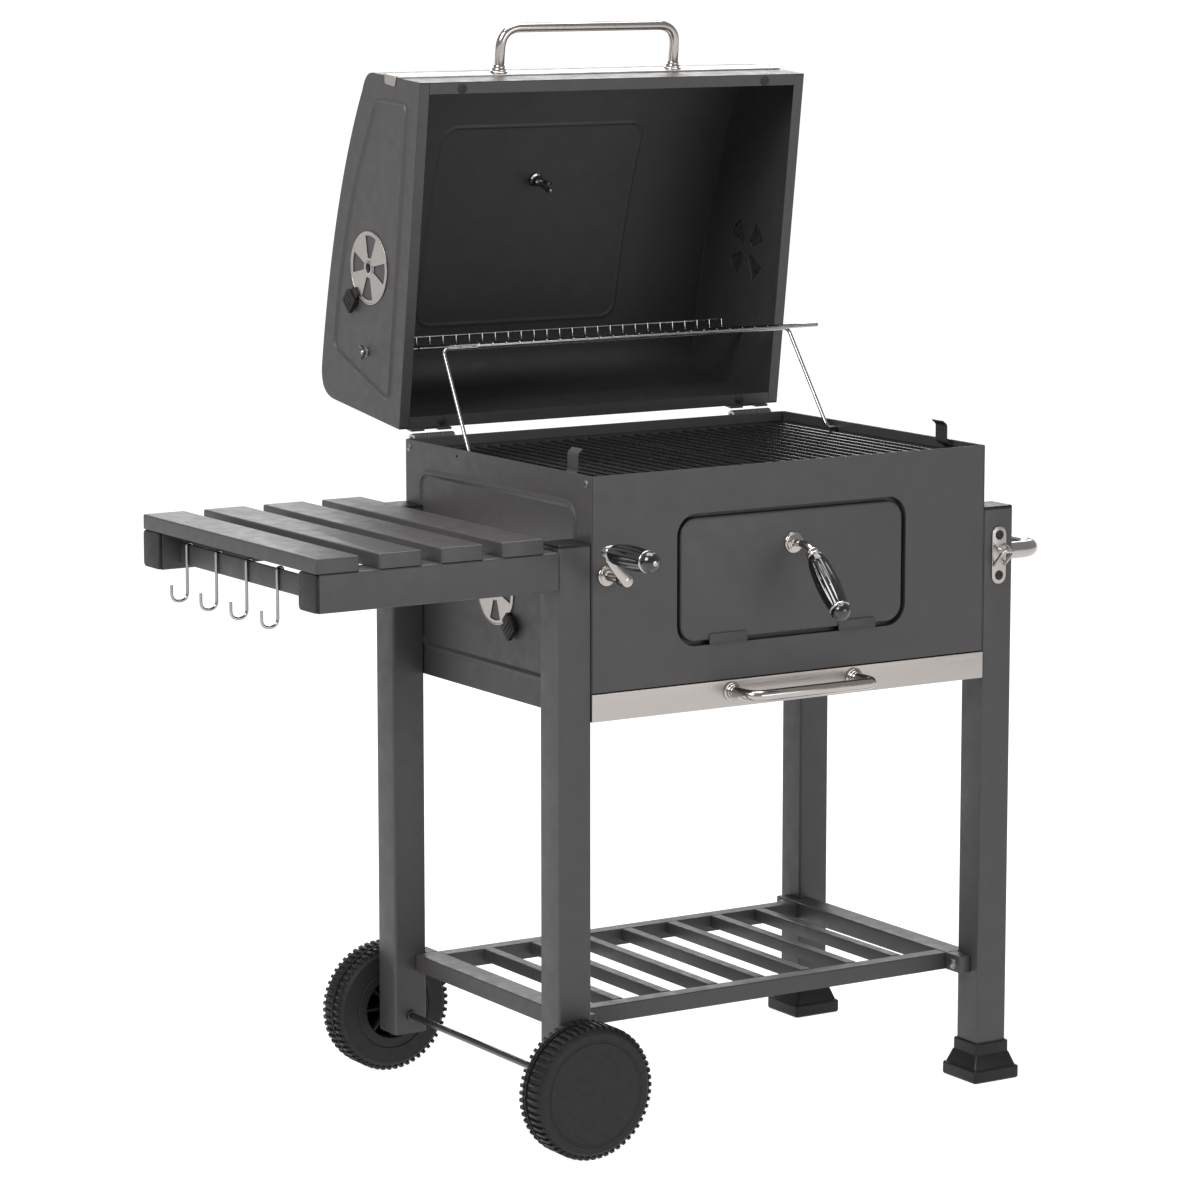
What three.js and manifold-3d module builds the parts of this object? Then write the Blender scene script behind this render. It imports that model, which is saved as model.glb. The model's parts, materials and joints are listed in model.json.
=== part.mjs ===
// A wheeled charcoal grill cart: a square firebox on four tube legs, with a hinged lid, a lifting
// charcoal pan, an ash drawer, a fire door, a slatted shelf and a side table.
// Millimetres, +Z up, the front faces -Y and the side table is at -X.

import * as THREE from 'three';
import { mergeVertices } from 'three/addons/utils/BufferGeometryUtils.js';
import Module from 'manifold-3d';

const wasm = await Module();
wasm.setup();

// ---- driving dimensions ----------------------------------------------------------------------

const GAP = 0.3; // air left between pieces that touch
const SHEET = 1.2; // steel sheet of the firebox and the lid
const JOIN = 0.5; // how far welded pieces of one sub-part run into each other

const BODY_WIDTH = 590;
const BODY_DEPTH = 450;
const BODY_TOP = 833;
const BODY_BOTTOM = 533;

const LEG_WIDTH = 46;
const LEG_DEPTH = 45;
const LEG_WALL = 1.5;
const LEG_TOP = 749;
const WHEEL_LEG_BOTTOM = 60;

const FOOT_HEIGHT = 50;
const FOOT_SOCKET = 12; // how far the leg stands in the foot
const FOOT_WALL = 3;
const FOOT_BASE = 72;
const FOOT_BASE_HEIGHT = 17;
const FOOT_STEP = 3; // ledge where the foot starts to narrow
const FOOT_SKIRT_TOP = 34;

const WHEEL_RADIUS = 84;
const WHEEL_WIDTH = 46;
const WHEEL_WEB = 6;
const WHEEL_RIM = 16;
const WHEEL_HUB = 15;
const WHEEL_CHAMFER = 7;
const AXLE_RADIUS = 4.5;
const RUNNING_GAP = 0.5;
const WHEEL_SIDE_GAP = 0.8;

const SHELF_TOP = 165;
const SHELF_BAR_HEIGHT = 22;
const SHELF_BAR_WIDTH = 22;
const SHELF_END_WIDTH = 34;
const SHELF_END_INSET = 30; // from the outer face of the legs
const SHELF_TAB_LENGTH = 30;
const SLAT_COUNT = 7;
const SLAT_WIDTH = 15;
const SLAT_HEIGHT = 16;
const TUBE_WALL = 1.2;

const TABLE_LENGTH = 330; // from the leg to the free end
const TABLE_TOP = 763;
const BOARD_COUNT = 4;
const BOARD_WIDTH = 58;
const BOARD_THICKNESS = 18;
const BOARD_PITCH = 84;
const BOARD_CORNER = 3;
const BEAM_HEIGHT = 47;
const HOOK_RAIL_HEIGHT = 26;
const HOOK_RAIL_THICKNESS = 3;
const HOOK_RAIL_DROP = 14; // below the top of the beams
const HOOK_RAIL_INSET = 29; // from the free end of the table
const HOOK_COUNT = 4;
const HOOK_PITCH = 79;
const HOOK_INSET = 22; // from the rear beam to the first hook
const HOOK_WIRE = 2;
const HOOK_DROP = 72;
const HOOK_RETURN = 16; // behind the rail
const HOOK_THROAT = 22;
const HOOK_TIP = 21;
const HOOK_BEND = 3.5;

const PUSH_TUBE = 11;
const PUSH_REACH = 58;
const PUSH_HEIGHT = 690;
const PUSH_BEND = 30;

const OPENER_TOP = 727;
const OPENER_BOTTOM = 653;
const OPENER_WIDTH = 22;
const OPENER_REACH = 24;
const OPENER_SHEET = 2;
const OPENER_HOOP = 14; // half the length of the hoop
const OPENER_RIM = 4;

const DOOR_WIDTH = 333;
const DOOR_HEIGHT = 153;
const DOOR_BOTTOM = 619;
const DOOR_CORNER = 22;
const DOOR_DEPTH = 10;
const DOOR_GROOVE = 5.5;
const DOOR_STOP = 9; // lip behind the door, seen from the front
const DOOR_HINGE_DROP = 5;
const DOOR_HINGE_X = 97;
const DOOR_HINGE_WIDTH = 56;
const DOOR_HINGE_LAP = 14; // how far a hinge tab runs up the door
const DOOR_HINGE_SHEET = 2;
const DOOR_PULL_HEIGHT = 731;
const PULL_NECK = 42;
const PULL_SAG = 8; // the neck's end below its rosette
const PULL_TILT = THREE.MathUtils.degToRad(47);

const GRIP_LENGTH = 108;
const GRIP_RADIUS = 15;
const ROSETTE_RADIUS = 8.5;
const ROSETTE_DEPTH = 4;

const VENT_HEIGHT = 666;
const VENT_RADIUS = 44;
const VENT_SHEET = 1.5;
const VENT_SLOTS = 4;
const VENT_SLOT_ANGLE = THREE.MathUtils.degToRad(38);
const VENT_SLOT_INNER = 13;
const VENT_SLOT_MARGIN = 6;
const VENT_CLOSED = Math.PI / VENT_SLOTS; // the wall's openings lie between the disc's
const VENT_TAB_REACH = 26;
const VENT_TAB_WIDTH = 24;
const VENT_TAB_CORNER = 4;
const VENT_TAB_ANGLE = THREE.MathUtils.degToRad(-135);

const DRAWER_FRONT_HEIGHT = 34;
const DRAWER_SHEET = 1.2;
const DRAWER_WALL_HEIGHT = 26;
const DRAWER_HANDLE_SPAN = 184;
const DRAWER_HANDLE_REACH = 48;
const DRAWER_HANDLE_TUBE = 7;
const DRAWER_HANDLE_BEND = 16;
const DRAWER_HANDLE_LIFT = 3; // above the middle of the drawer's front
const DRAWER_REAR_ROOM = 2;
const RUNNER_WIDTH = 14;

const CRANK_INSET = 21; // from the left side to the crank's shaft
const CRANK_Z = 711;
const CRANK_SHAFT = 5;
const CRANK_REACH = 44;
const CRANK_ARM = 46;
const CRANK_ARM_WIDTH = 14;
const CRANK_ARM_SHEET = 4;
const CRANK_ARM_ANGLE = THREE.MathUtils.degToRad(127);
const LIFT_ARM = 45;
const LIFT_ARM_REST = THREE.MathUtils.degToRad(-30);
const LIFT_ARM_RADIUS = 4;
const LIFT_ARM_ROOM = 4; // between an arm and the end of the pan
const LIFT_ARM_SHEET = 4;
const LIFT_PIN = 24; // how far an arm's pin reaches under the pan's flange
const LIFT_CLEARANCE = 0.8;
const PAN_FLANGE = 40;
const PAN_FRONT_ROOM = 22;
const PAN_RIGHT_ROOM = 20;
const PAN_LEFT_ROOM = 7;
const PAN_DEPTH = 55;
const PAN_GUIDE_GAP = 0.8; // between the pan's flange and the wall it slides along

const GRATE_DROP = 13; // from the firebox's top edge to the grates
const GRATE_ROD = 2.5;
const GRATE_RODS = 15;
const GRATE_SIDE_ROOM = 13;
const GRATE_SPLIT = 5;
const GRATE_END_ROOM = 12;
const GRATE_WELD = 1; // how deep crossing rods are pressed into each other
const COAL_GRATE_RODS = 14;
const COAL_GRATE_ROOM = 3.5; // inside the pan's walls
const GRATE_CROSS_INSET = 20;
const LEDGE = 18;

const LID_REAR_HEIGHT = 213;
const LID_FRONT_HEIGHT = 146;
const LID_FRONT_LEAN = 7;
const LID_REAR_CORNER = 38;
const LID_FRONT_CORNER = 26;
const LID_CROWN = 14;
const LID_FLANGE = 15;
const LID_SEAT = 2; // room between the closed lid and the firebox
const LID_OPEN = THREE.MathUtils.degToRad(82.4);
const HINGE_BACK = 13; // hinge axis behind the firebox
const HINGE_DROP = 4; // hinge axis below the firebox's top edge
const HINGE_RADIUS = 8;
const HINGE_PIN = 3;
const HINGE_INSET = 47; // from the side to the middle of a hinge
const HINGE_WIDTH = 60;
const HINGE_LEAF = 3;
const HINGE_LEAF_HEIGHT = 34;

const LID_VENT_BACK = 192; // from the lid's rear wall
const LID_VENT_UP = 100; // from the lid's rim
const LID_VENT_RADIUS = 48;
const LID_VENT_TAB_ANGLE = THREE.MathUtils.degToRad(36);
const TRIM_UP = 55;
const TRIM_HEIGHT = 38;
const TRIM_SHEET = 1.5;
const LID_HANDLE_UP = 75;
const LID_HANDLE_SPAN = 269;
const LID_HANDLE_REACH = 58;
const LID_HANDLE_TUBE = 6.5;
const LID_HANDLE_BEND = 28;
const DIAL_BACK = 283;
const DIAL_RADIUS = 30;
const DIAL_DEPTH = 12;
const DIAL_NUT = [26, 6, 10];
const STEM_RADIUS = 4;
const STEM_LENGTH = 42;

const RACK_PIVOT_BACK = 82; // on the lid's side, from the rear wall
const RACK_PIVOT_UP = 94;
const RACK_PIVOT_ROD = 2.5;
const RACK_SIDE_ROOM = 34; // from the lid's side to the rack's deck
const RACK_DEPTH = 227;
const RACK_TILT = THREE.MathUtils.degToRad(6.1);
const RACK_WIRE = 1.8;
const RACK_WIRES = 27;
const RACK_RISER = 15;
const RACK_STUD = 9; // how far the pivot rod passes out of the lid
const BAIL_WIRE = 2.5;
const BAIL_BEND = 7;
const BAIL_SIDE_ROOM = 28; // from the firebox's side to the bail's crossbar
const BAIL_FOOT_ROOM = 19;
const BAIL_FOOT_BACK = 130; // on the firebox's side, from the rear wall
const BAIL_FOOT_DROP = 9; // from its top edge
const BAIL_REACH = 149; // from the rack's pivot to where the bail carries it

// ---- places worked out from them ---------------------------------------------------------------

const SIDE_X = BODY_WIDTH / 2;
const FRONT_Y = -BODY_DEPTH / 2;
const REAR_Y = BODY_DEPTH / 2;
const LEG_IN = SIDE_X + GAP;
const LEG_OUT = LEG_IN + LEG_WIDTH;
const LEG_X = LEG_IN + LEG_WIDTH / 2;
const LEG_Y = REAR_Y - LEG_DEPTH / 2;
const LEG_INNER_Y = REAR_Y - LEG_DEPTH;
const FOOT_LEG_BOTTOM = FOOT_HEIGHT - FOOT_SOCKET;
const INNER_X = SIDE_X - SHEET;
const HINGE_Y = REAR_Y + HINGE_BACK;
const HINGE_Z = BODY_TOP - HINGE_DROP;
const LID_RIM_Z = BODY_TOP + LID_SEAT;
const GRATE_TOP = BODY_TOP - GRATE_DROP;
const HINGE_X = SIDE_X - HINGE_INSET;
const CRANK_X = CRANK_INSET - SIDE_X;
const BAIL_FOOT_Y = REAR_Y - BAIL_FOOT_BACK;
const BAIL_FOOT_Z = BODY_TOP - BAIL_FOOT_DROP;
const TABLE_END_X = -LEG_OUT - TABLE_LENGTH;

// ---- paint and metal ---------------------------------------------------------------------------

const finish = (color, roughness, metalness) =>
  new THREE.MeshStandardMaterial({ color, roughness, metalness });
const enamel = () => finish(0x565453, 0.55, 0.2);
const darkEnamel = () => finish(0x323132, 0.6, 0.2);
const stainless = () => finish(0xb9b4b0, 0.3, 1);
const chrome = () => finish(0xd8d8d8, 0.12, 1);
const plastic = () => finish(0x2b2b2c, 0.5, 0);

// ---- solids --------------------------------------------------------------------------------------

function toSolid(geometry) {
  const bare = geometry.clone();
  bare.deleteAttribute('normal');
  bare.deleteAttribute('uv');
  const merged = mergeVertices(bare, 1e-4);
  return new wasm.Manifold(new wasm.Mesh({
    numProp: 3,
    vertProperties: Float32Array.from(merged.attributes.position.array),
    triVerts: Uint32Array.from(merged.index.array),
  }));
}

function toGeometry(solid) {
  const mesh = solid.getMesh();
  const geometry = new THREE.BufferGeometry();
  geometry.setAttribute('position', new THREE.BufferAttribute(mesh.vertProperties, 3));
  geometry.setIndex(new THREE.BufferAttribute(mesh.triVerts, 1));
  return geometry;
}

const join = (...pieces) => toGeometry(pieces.map(toSolid).reduce((all, next) => all.add(next)));
const cut = (base, ...tools) =>
  toGeometry(tools.map(toSolid).reduce((all, next) => all.subtract(next), toSolid(base)));

function box(x, y, z) {
  const geometry = new THREE.BoxGeometry(x[1] - x[0], y[1] - y[0], z[1] - z[0]);
  return geometry.translate((x[0] + x[1]) / 2, (y[0] + y[1]) / 2, (z[0] + z[1]) / 2);
}

// A flat outline made into a plate between two places along an axis. The outline is drawn in
// (y, z) for x, in (x, z) for y and in (x, y) for z.
function plate(axis, outline, from, to, curveSegments = 6) {
  const depth = to - from;
  const geometry = new THREE.ExtrudeGeometry(outline, { depth, bevelEnabled: false, curveSegments });
  const [X, Y, Z] = [[1, 0, 0], [0, 1, 0], [0, 0, 1]].map((unit) => new THREE.Vector3(...unit));
  const turn = new THREE.Matrix4();
  if (axis === 'x') turn.makeBasis(Y, Z, X).setPosition(from, 0, 0);
  if (axis === 'y') turn.makeBasis(X, Z, Y.negate()).setPosition(0, to, 0);
  if (axis === 'z') turn.setPosition(0, 0, from);
  return geometry.applyMatrix4(turn);
}

function roundedRectangle(u0, u1, v0, v1, radius) {
  const shape = new THREE.Shape();
  shape.moveTo(u0 + radius, v0);
  shape.lineTo(u1 - radius, v0);
  shape.absarc(u1 - radius, v0 + radius, radius, -Math.PI / 2, 0, false);
  shape.lineTo(u1, v1 - radius);
  shape.absarc(u1 - radius, v1 - radius, radius, 0, Math.PI / 2, false);
  shape.lineTo(u0 + radius, v1);
  shape.absarc(u0 + radius, v1 - radius, radius, Math.PI / 2, Math.PI, false);
  shape.lineTo(u0, v0 + radius);
  shape.absarc(u0 + radius, v0 + radius, radius, Math.PI, Math.PI * 1.5, false);
  return shape;
}

// A round bar between two points.
function rod(from, to, radius, sides = 8) {
  const start = new THREE.Vector3(...from);
  const run = new THREE.Vector3(...to).sub(start);
  const geometry = new THREE.CylinderGeometry(radius, radius, run.length(), sides);
  const upright = new THREE.Vector3(0, 1, 0);
  const turn = new THREE.Quaternion().setFromUnitVectors(upright, run.clone().normalize());
  const middle = start.addScaledVector(run, 0.5);
  return geometry.applyQuaternion(turn).translate(middle.x, middle.y, middle.z);
}

// A path through fixed stations, so a bent tube has its sections only where it bends.
class StationPath extends THREE.Curve {
  constructor(stations) {
    super();
    this.stations = stations;
  }

  getPoint(t, target = new THREE.Vector3()) {
    const last = this.stations.length - 1;
    const place = Math.min(Math.max(t, 0), 1) * last;
    const index = Math.min(Math.floor(place), last - 1);
    return target.lerpVectors(this.stations[index], this.stations[index + 1], place - index);
  }

  getUtoTmapping(u) {
    return u;
  }
}

function bentTube(corners, bend, radius, sides = 8, steps = 4) {
  const points = corners.map((corner) => new THREE.Vector3(...corner));
  const stations = [points[0]];
  for (let i = 1; i < points.length - 1; i++) {
    const before = points[i - 1].clone().sub(points[i]).setLength(bend).add(points[i]);
    const after = points[i + 1].clone().sub(points[i]).setLength(bend).add(points[i]);
    const arc = new THREE.QuadraticBezierCurve3(before, points[i], after);
    stations.push(...arc.getPoints(steps));
  }
  stations.push(points[points.length - 1]);
  const section = new THREE.Shape();
  for (let i = 0; i < sides; i++) {
    const angle = (i / sides) * Math.PI * 2;
    const [u, v] = [radius * Math.cos(angle), radius * Math.sin(angle)];
    if (i === 0) section.moveTo(u, v);
    else section.lineTo(u, v);
  }
  return new THREE.ExtrudeGeometry(section, {
    steps: stations.length - 1,
    extrudePath: new StationPath(stations),
  });
}

// ---- the cart ------------------------------------------------------------------------------------

const grill = new THREE.Group();

function place(name, geometry, material, parent = grill) {
  const mesh = new THREE.Mesh(geometry, material);
  mesh.name = name;
  parent.add(mesh);
  return mesh;
}

// ---- firebox -------------------------------------------------------------------------------------

// The wedge-shaped openings of an air vent, in the (y, z) plane.
function ventSlots(centreY, centreZ, radius, turn = 0) {
  const outer = radius - VENT_SLOT_MARGIN;
  return Array.from({ length: VENT_SLOTS }, (_, i) => {
    const middle = turn + (i / VENT_SLOTS) * Math.PI * 2;
    const [start, end] = [middle - VENT_SLOT_ANGLE / 2, middle + VENT_SLOT_ANGLE / 2];
    const slot = new THREE.Path();
    slot.absarc(centreY, centreZ, outer, start, end, false);
    slot.absarc(centreY, centreZ, VENT_SLOT_INNER, end, start, true);
    slot.closePath();
    return slot;
  });
}

function fireboxSide(side) {
  const outline = new THREE.Shape();
  outline.moveTo(FRONT_Y, BODY_BOTTOM);
  outline.lineTo(REAR_Y, BODY_BOTTOM);
  outline.lineTo(REAR_Y, BODY_TOP);
  outline.lineTo(FRONT_Y, BODY_TOP);
  outline.closePath();
  outline.holes = ventSlots(0, VENT_HEIGHT, VENT_RADIUS, VENT_CLOSED);
  const [from, to] = side < 0 ? [-SIDE_X, -INNER_X] : [INNER_X, SIDE_X];
  const sheet = plate('x', outline, from, to, 2);
  const runner = box(
    side < 0 ? [-INNER_X - JOIN, RUNNER_WIDTH - INNER_X] : [INNER_X - RUNNER_WIDTH, INNER_X + JOIN],
    [FRONT_Y + SHEET + GAP, REAR_Y - SHEET - GAP],
    [BODY_BOTTOM, BODY_BOTTOM + SHEET],
  );
  const bailHole = rod([from - 1, BAIL_FOOT_Y, BAIL_FOOT_Z], [to + 1, BAIL_FOOT_Y, BAIL_FOOT_Z],
    BAIL_WIRE + RUNNING_GAP);
  return cut(join(sheet, runner), bailHole);
}

function fireboxFront() {
  const x = INNER_X - GAP;
  const bottom = BODY_BOTTOM + DRAWER_FRONT_HEIGHT + SHEET;
  const outline = new THREE.Shape();
  outline.moveTo(-x, bottom);
  outline.lineTo(x, bottom);
  outline.lineTo(x, BODY_TOP);
  outline.lineTo(-x, BODY_TOP);
  outline.closePath();
  const half = DOOR_WIDTH / 2 + DOOR_GROOVE;
  const low = DOOR_BOTTOM - DOOR_GROOVE;
  const high = DOOR_BOTTOM + DOOR_HEIGHT + DOOR_GROOVE;
  const corner = DOOR_CORNER + DOOR_GROOVE;
  outline.holes = [roundedRectangle(-half, half, low, high, corner)];
  const sheet = plate('y', outline, FRONT_Y, FRONT_Y + SHEET, 2);
  const shelf = box([-x, x], [FRONT_Y + SHEET - JOIN, FRONT_Y + LEDGE], ledgeHeights());
  const behind = FRONT_Y + DOOR_DEPTH + SHEET + GAP;
  const frame = roundedRectangle(-half - SHEET, half + SHEET, low - SHEET, high + SHEET, corner + SHEET);
  frame.holes = [roundedRectangle(-half, half, low, high, corner)];
  const stop = roundedRectangle(-half - SHEET, half + SHEET, low - SHEET, high + SHEET, corner + SHEET);
  stop.holes = [roundedRectangle(
    -half + DOOR_STOP, half - DOOR_STOP, low + DOOR_STOP, high - DOOR_STOP, corner - DOOR_STOP)];
  const jamb = plate('y', frame, FRONT_Y + JOIN, behind + JOIN, 2);
  const lip = plate('y', stop, behind, behind + SHEET, 2);
  const crankHole = rod([CRANK_X, FRONT_Y - 1, CRANK_Z], [CRANK_X, FRONT_Y + SHEET + 1, CRANK_Z],
    CRANK_SHAFT + RUNNING_GAP);
  return cut(join(sheet, shelf, jamb, lip), crankHole);
}

function ledgeHeights() {
  const top = GRATE_TOP - 2 * GRATE_ROD - GAP;
  return [top - SHEET, top];
}

function fireboxRear() {
  const x = INNER_X - GAP;
  const sheet = box([-x, x], [REAR_Y - SHEET, REAR_Y], [BODY_BOTTOM, BODY_TOP]);
  return join(sheet, box([-x, x], [REAR_Y - LEDGE, REAR_Y - SHEET + JOIN], ledgeHeights()));
}

// ---- air vents -----------------------------------------------------------------------------------

// A round plate with wedge openings and a tab to turn it by, in the (y, z) plane round its centre.
function ventDisc(radius, tabAngle) {
  const disc = new THREE.Shape();
  for (let i = 0; i < 4; i++) disc.absarc(0, 0, radius, (i * Math.PI) / 2, ((i + 1) * Math.PI) / 2, false);
  disc.holes = ventSlots(0, 0, radius);
  const [outer, half] = [radius + VENT_TAB_REACH, VENT_TAB_WIDTH / 2];
  const tab = roundedRectangle(radius - VENT_TAB_CORNER, outer, -half, half, VENT_TAB_CORNER);
  const tabPlate = plate('x', tab, 0, VENT_SHEET, 1);
  tabPlate.rotateX(tabAngle);
  return join(plate('x', disc, 0, VENT_SHEET, 3), tabPlate);
}

// The vent's own turning group stands at its centre, just outside the panel that carries it.
function addVent(name, side, y, z, radius, tabAngle, parent = grill) {
  const mesh = place(name, ventDisc(radius, tabAngle), stainless(), parent);
  mesh.position.set(side < 0 ? -SIDE_X - GAP - VENT_SHEET : SIDE_X + GAP, y, z);
}

// ---- legs, feet, wheels ---------------------------------------------------------------------------

function squareTube(x, y, z, wall, axis) {
  const outer = { x, y, z };
  const inner = {};
  for (const [key, [low, high]] of Object.entries(outer)) {
    inner[key] = key === axis ? [low - 1, high + 1] : [low + wall, high - wall];
  }
  return cut(box(x, y, z), box(inner.x, inner.y, inner.z));
}

function leg(sideX, sideY, bottom) {
  const x = [sideX * LEG_X - LEG_WIDTH / 2, sideX * LEG_X + LEG_WIDTH / 2];
  const y = [sideY * LEG_Y - LEG_DEPTH / 2, sideY * LEG_Y + LEG_DEPTH / 2];
  const tube = squareTube(x, y, [bottom, LEG_TOP], LEG_WALL, 'z');
  if (sideX > 0) return tube;
  const hole = rod([-LEG_X, y[0] - 1, WHEEL_RADIUS], [-LEG_X, y[1] + 1, WHEEL_RADIUS],
    AXLE_RADIUS + GAP, 12);
  return cut(tube, hole);
}

function foot(sideY) {
  const [x, y] = [LEG_X, sideY * LEG_Y];
  const square = (half, z0, z1) => box([x - half, x + half], [y - half, y + half], [z0, z1]);
  const collar = LEG_WIDTH / 2 + FOOT_WALL;
  const skirt = new THREE.CylinderGeometry(
    collar * Math.SQRT2, (FOOT_BASE / 2 - FOOT_STEP) * Math.SQRT2, FOOT_SKIRT_TOP - FOOT_BASE_HEIGHT, 4);
  skirt.rotateY(Math.PI / 4).rotateX(Math.PI / 2);
  skirt.translate(x, y, (FOOT_SKIRT_TOP + FOOT_BASE_HEIGHT) / 2);
  const block = join(square(FOOT_BASE / 2, 0, FOOT_BASE_HEIGHT), skirt,
    square(collar, (FOOT_SKIRT_TOP + FOOT_BASE_HEIGHT) / 2, FOOT_HEIGHT));
  const socket = box([x - LEG_WIDTH / 2 - GAP, x + LEG_WIDTH / 2 + GAP],
    [y - LEG_DEPTH / 2 - GAP, y + LEG_DEPTH / 2 + GAP], [FOOT_LEG_BOTTOM - GAP, FOOT_HEIGHT + 1]);
  return cut(block, socket);
}

// A moulded wheel: a flat outer disc, a hub and a wide rim, hollow on the side of the leg.
function wheel(side) {
  const bore = AXLE_RADIUS + RUNNING_GAP;
  const rim = WHEEL_RADIUS - WHEEL_RIM;
  const deep = WHEEL_WIDTH - WHEEL_WEB;
  const profile = [
    [bore, 0], [WHEEL_HUB, 0], [WHEEL_HUB, deep], [rim, deep], [rim, 0],
    [WHEEL_RADIUS - WHEEL_CHAMFER, 0], [WHEEL_RADIUS, WHEEL_CHAMFER],
    [WHEEL_RADIUS, WHEEL_WIDTH - WHEEL_CHAMFER], [WHEEL_RADIUS - WHEEL_CHAMFER, WHEEL_WIDTH],
    [bore, WHEEL_WIDTH], [bore, 0],
  ].map(([radius, along]) => new THREE.Vector2(radius, along));
  const geometry = new THREE.LatheGeometry(profile, 28);
  if (side < 0) geometry.rotateX(Math.PI);
  return toGeometry(toSolid(geometry));
}

function addWheel(name, side) {
  const mesh = place(name, wheel(side), plastic());
  mesh.position.set(-LEG_X, side * (REAR_Y + WHEEL_SIDE_GAP), WHEEL_RADIUS);
}

function axle() {
  const end = REAR_Y + WHEEL_SIDE_GAP + WHEEL_WIDTH;
  return rod([-LEG_X, -end, WHEEL_RADIUS], [-LEG_X, end, WHEEL_RADIUS], AXLE_RADIUS, 12);
}

// ---- bottom shelf --------------------------------------------------------------------------------

const SHELF_Y = LEG_INNER_Y - GAP;
const SHELF_END_IN = LEG_OUT - SHELF_END_WIDTH - SHELF_END_INSET;

// Four folded channels round an open middle, with a tab along the inner face of each leg.
function shelfFrame() {
  const z = [SHELF_TOP - SHELF_BAR_HEIGHT, SHELF_TOP];
  const [outX, inX] = [SHELF_END_IN + SHELF_END_WIDTH, SHELF_END_IN];
  const inY = SHELF_Y - SHELF_BAR_WIDTH;
  const middle = (x, y, heights) => box([-x, x], [-y, y], heights);
  const through = [z[0] - 1, z[1] + 1];
  const under = [z[0] - 1, z[1] - TUBE_WALL];
  const tabs = [-1, 1].flatMap((sx) => [-1, 1].map((sy) => {
    const x = [sx * inX, sx * (LEG_IN - GAP)].sort((a, b) => a - b);
    const y = [sy * (SHELF_Y - 1), sy * (SHELF_Y + SHELF_TAB_LENGTH)].sort((a, b) => a - b);
    return box(x, y, z);
  }));
  const hollow = cut(middle(outX - TUBE_WALL, SHELF_Y - TUBE_WALL, under),
    middle(inX + TUBE_WALL, inY + TUBE_WALL, under));
  return cut(join(middle(outX, SHELF_Y, z), ...tabs), middle(inX, inY, through), hollow);
}

function addSlats() {
  const room = 2 * SHELF_END_IN;
  const pitch = (room + SLAT_WIDTH) / (SLAT_COUNT + 1);
  const y = SHELF_Y - SHELF_BAR_WIDTH - GAP;
  for (let i = 0; i < SLAT_COUNT; i++) {
    const x = (i - (SLAT_COUNT - 1) / 2) * pitch;
    place(`shelf_slat_${i + 1}`, squareTube([x - SLAT_WIDTH / 2, x + SLAT_WIDTH / 2], [-y, y],
      [SHELF_TOP - SLAT_HEIGHT, SHELF_TOP], TUBE_WALL, 'y'), enamel());
  }
}

// ---- side table ----------------------------------------------------------------------------------

const BEAM_TOP = TABLE_TOP - BOARD_THICKNESS - GAP;

function tableBeam(side) {
  const y = [side * LEG_INNER_Y, side * REAR_Y].sort((a, b) => a - b);
  return squareTube([TABLE_END_X, -LEG_OUT - GAP], y, [BEAM_TOP - BEAM_HEIGHT, BEAM_TOP], TUBE_WALL, 'x');
}

// A board is a folded channel, open underneath.
function board(x) {
  const outline = roundedRectangle(x, x + BOARD_WIDTH, FRONT_Y, REAR_Y, BOARD_CORNER);
  const hollow = box([x + TUBE_WALL, x + BOARD_WIDTH - TUBE_WALL], [FRONT_Y + TUBE_WALL, REAR_Y - TUBE_WALL],
    [TABLE_TOP - BOARD_THICKNESS - 1, TABLE_TOP - TUBE_WALL]);
  return cut(plate('z', outline, TABLE_TOP - BOARD_THICKNESS, TABLE_TOP, 1), hollow);
}

function addBoards() {
  for (let i = 0; i < BOARD_COUNT; i++) {
    place(`table_board_${i + 1}`, board(TABLE_END_X + i * BOARD_PITCH), enamel());
  }
}

const RAIL_X = TABLE_END_X + HOOK_RAIL_INSET;
const RAIL_TOP = BEAM_TOP - HOOK_RAIL_DROP;

function hookRail() {
  const y = LEG_INNER_Y - GAP;
  return box([RAIL_X, RAIL_X + HOOK_RAIL_THICKNESS], [-y, y], [RAIL_TOP - HOOK_RAIL_HEIGHT, RAIL_TOP]);
}

function hook() {
  const clear = HOOK_WIRE + GAP;
  const [inner, outer] = [RAIL_X + HOOK_RAIL_THICKNESS + clear, RAIL_X - clear];
  const [top, bottom] = [RAIL_TOP + clear, RAIL_TOP + clear - HOOK_DROP];
  const tip = outer - HOOK_THROAT;
  const corners = [
    [inner, 0, top - HOOK_RETURN], [inner, 0, top], [outer, 0, top],
    [outer, 0, bottom], [tip, 0, bottom], [tip, 0, bottom + HOOK_TIP],
  ];
  return bentTube(corners, HOOK_BEND, HOOK_WIRE, 6, 2);
}

function addHooks() {
  for (let i = 0; i < HOOK_COUNT; i++) {
    const mesh = place(`table_hook_${i + 1}`, hook(), chrome());
    mesh.position.y = LEG_INNER_Y - HOOK_INSET - i * HOOK_PITCH;
  }
}

// ---- handles on the legs --------------------------------------------------------------------------

function pushHandle() {
  const [near, far] = [LEG_OUT + GAP, LEG_OUT + PUSH_REACH];
  const corners = [[near, -LEG_Y, PUSH_HEIGHT], [far, -LEG_Y, PUSH_HEIGHT],
    [far, LEG_Y, PUSH_HEIGHT], [near, LEG_Y, PUSH_HEIGHT]];
  return bentTube(corners, PUSH_BEND, PUSH_TUBE, 10);
}

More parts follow.
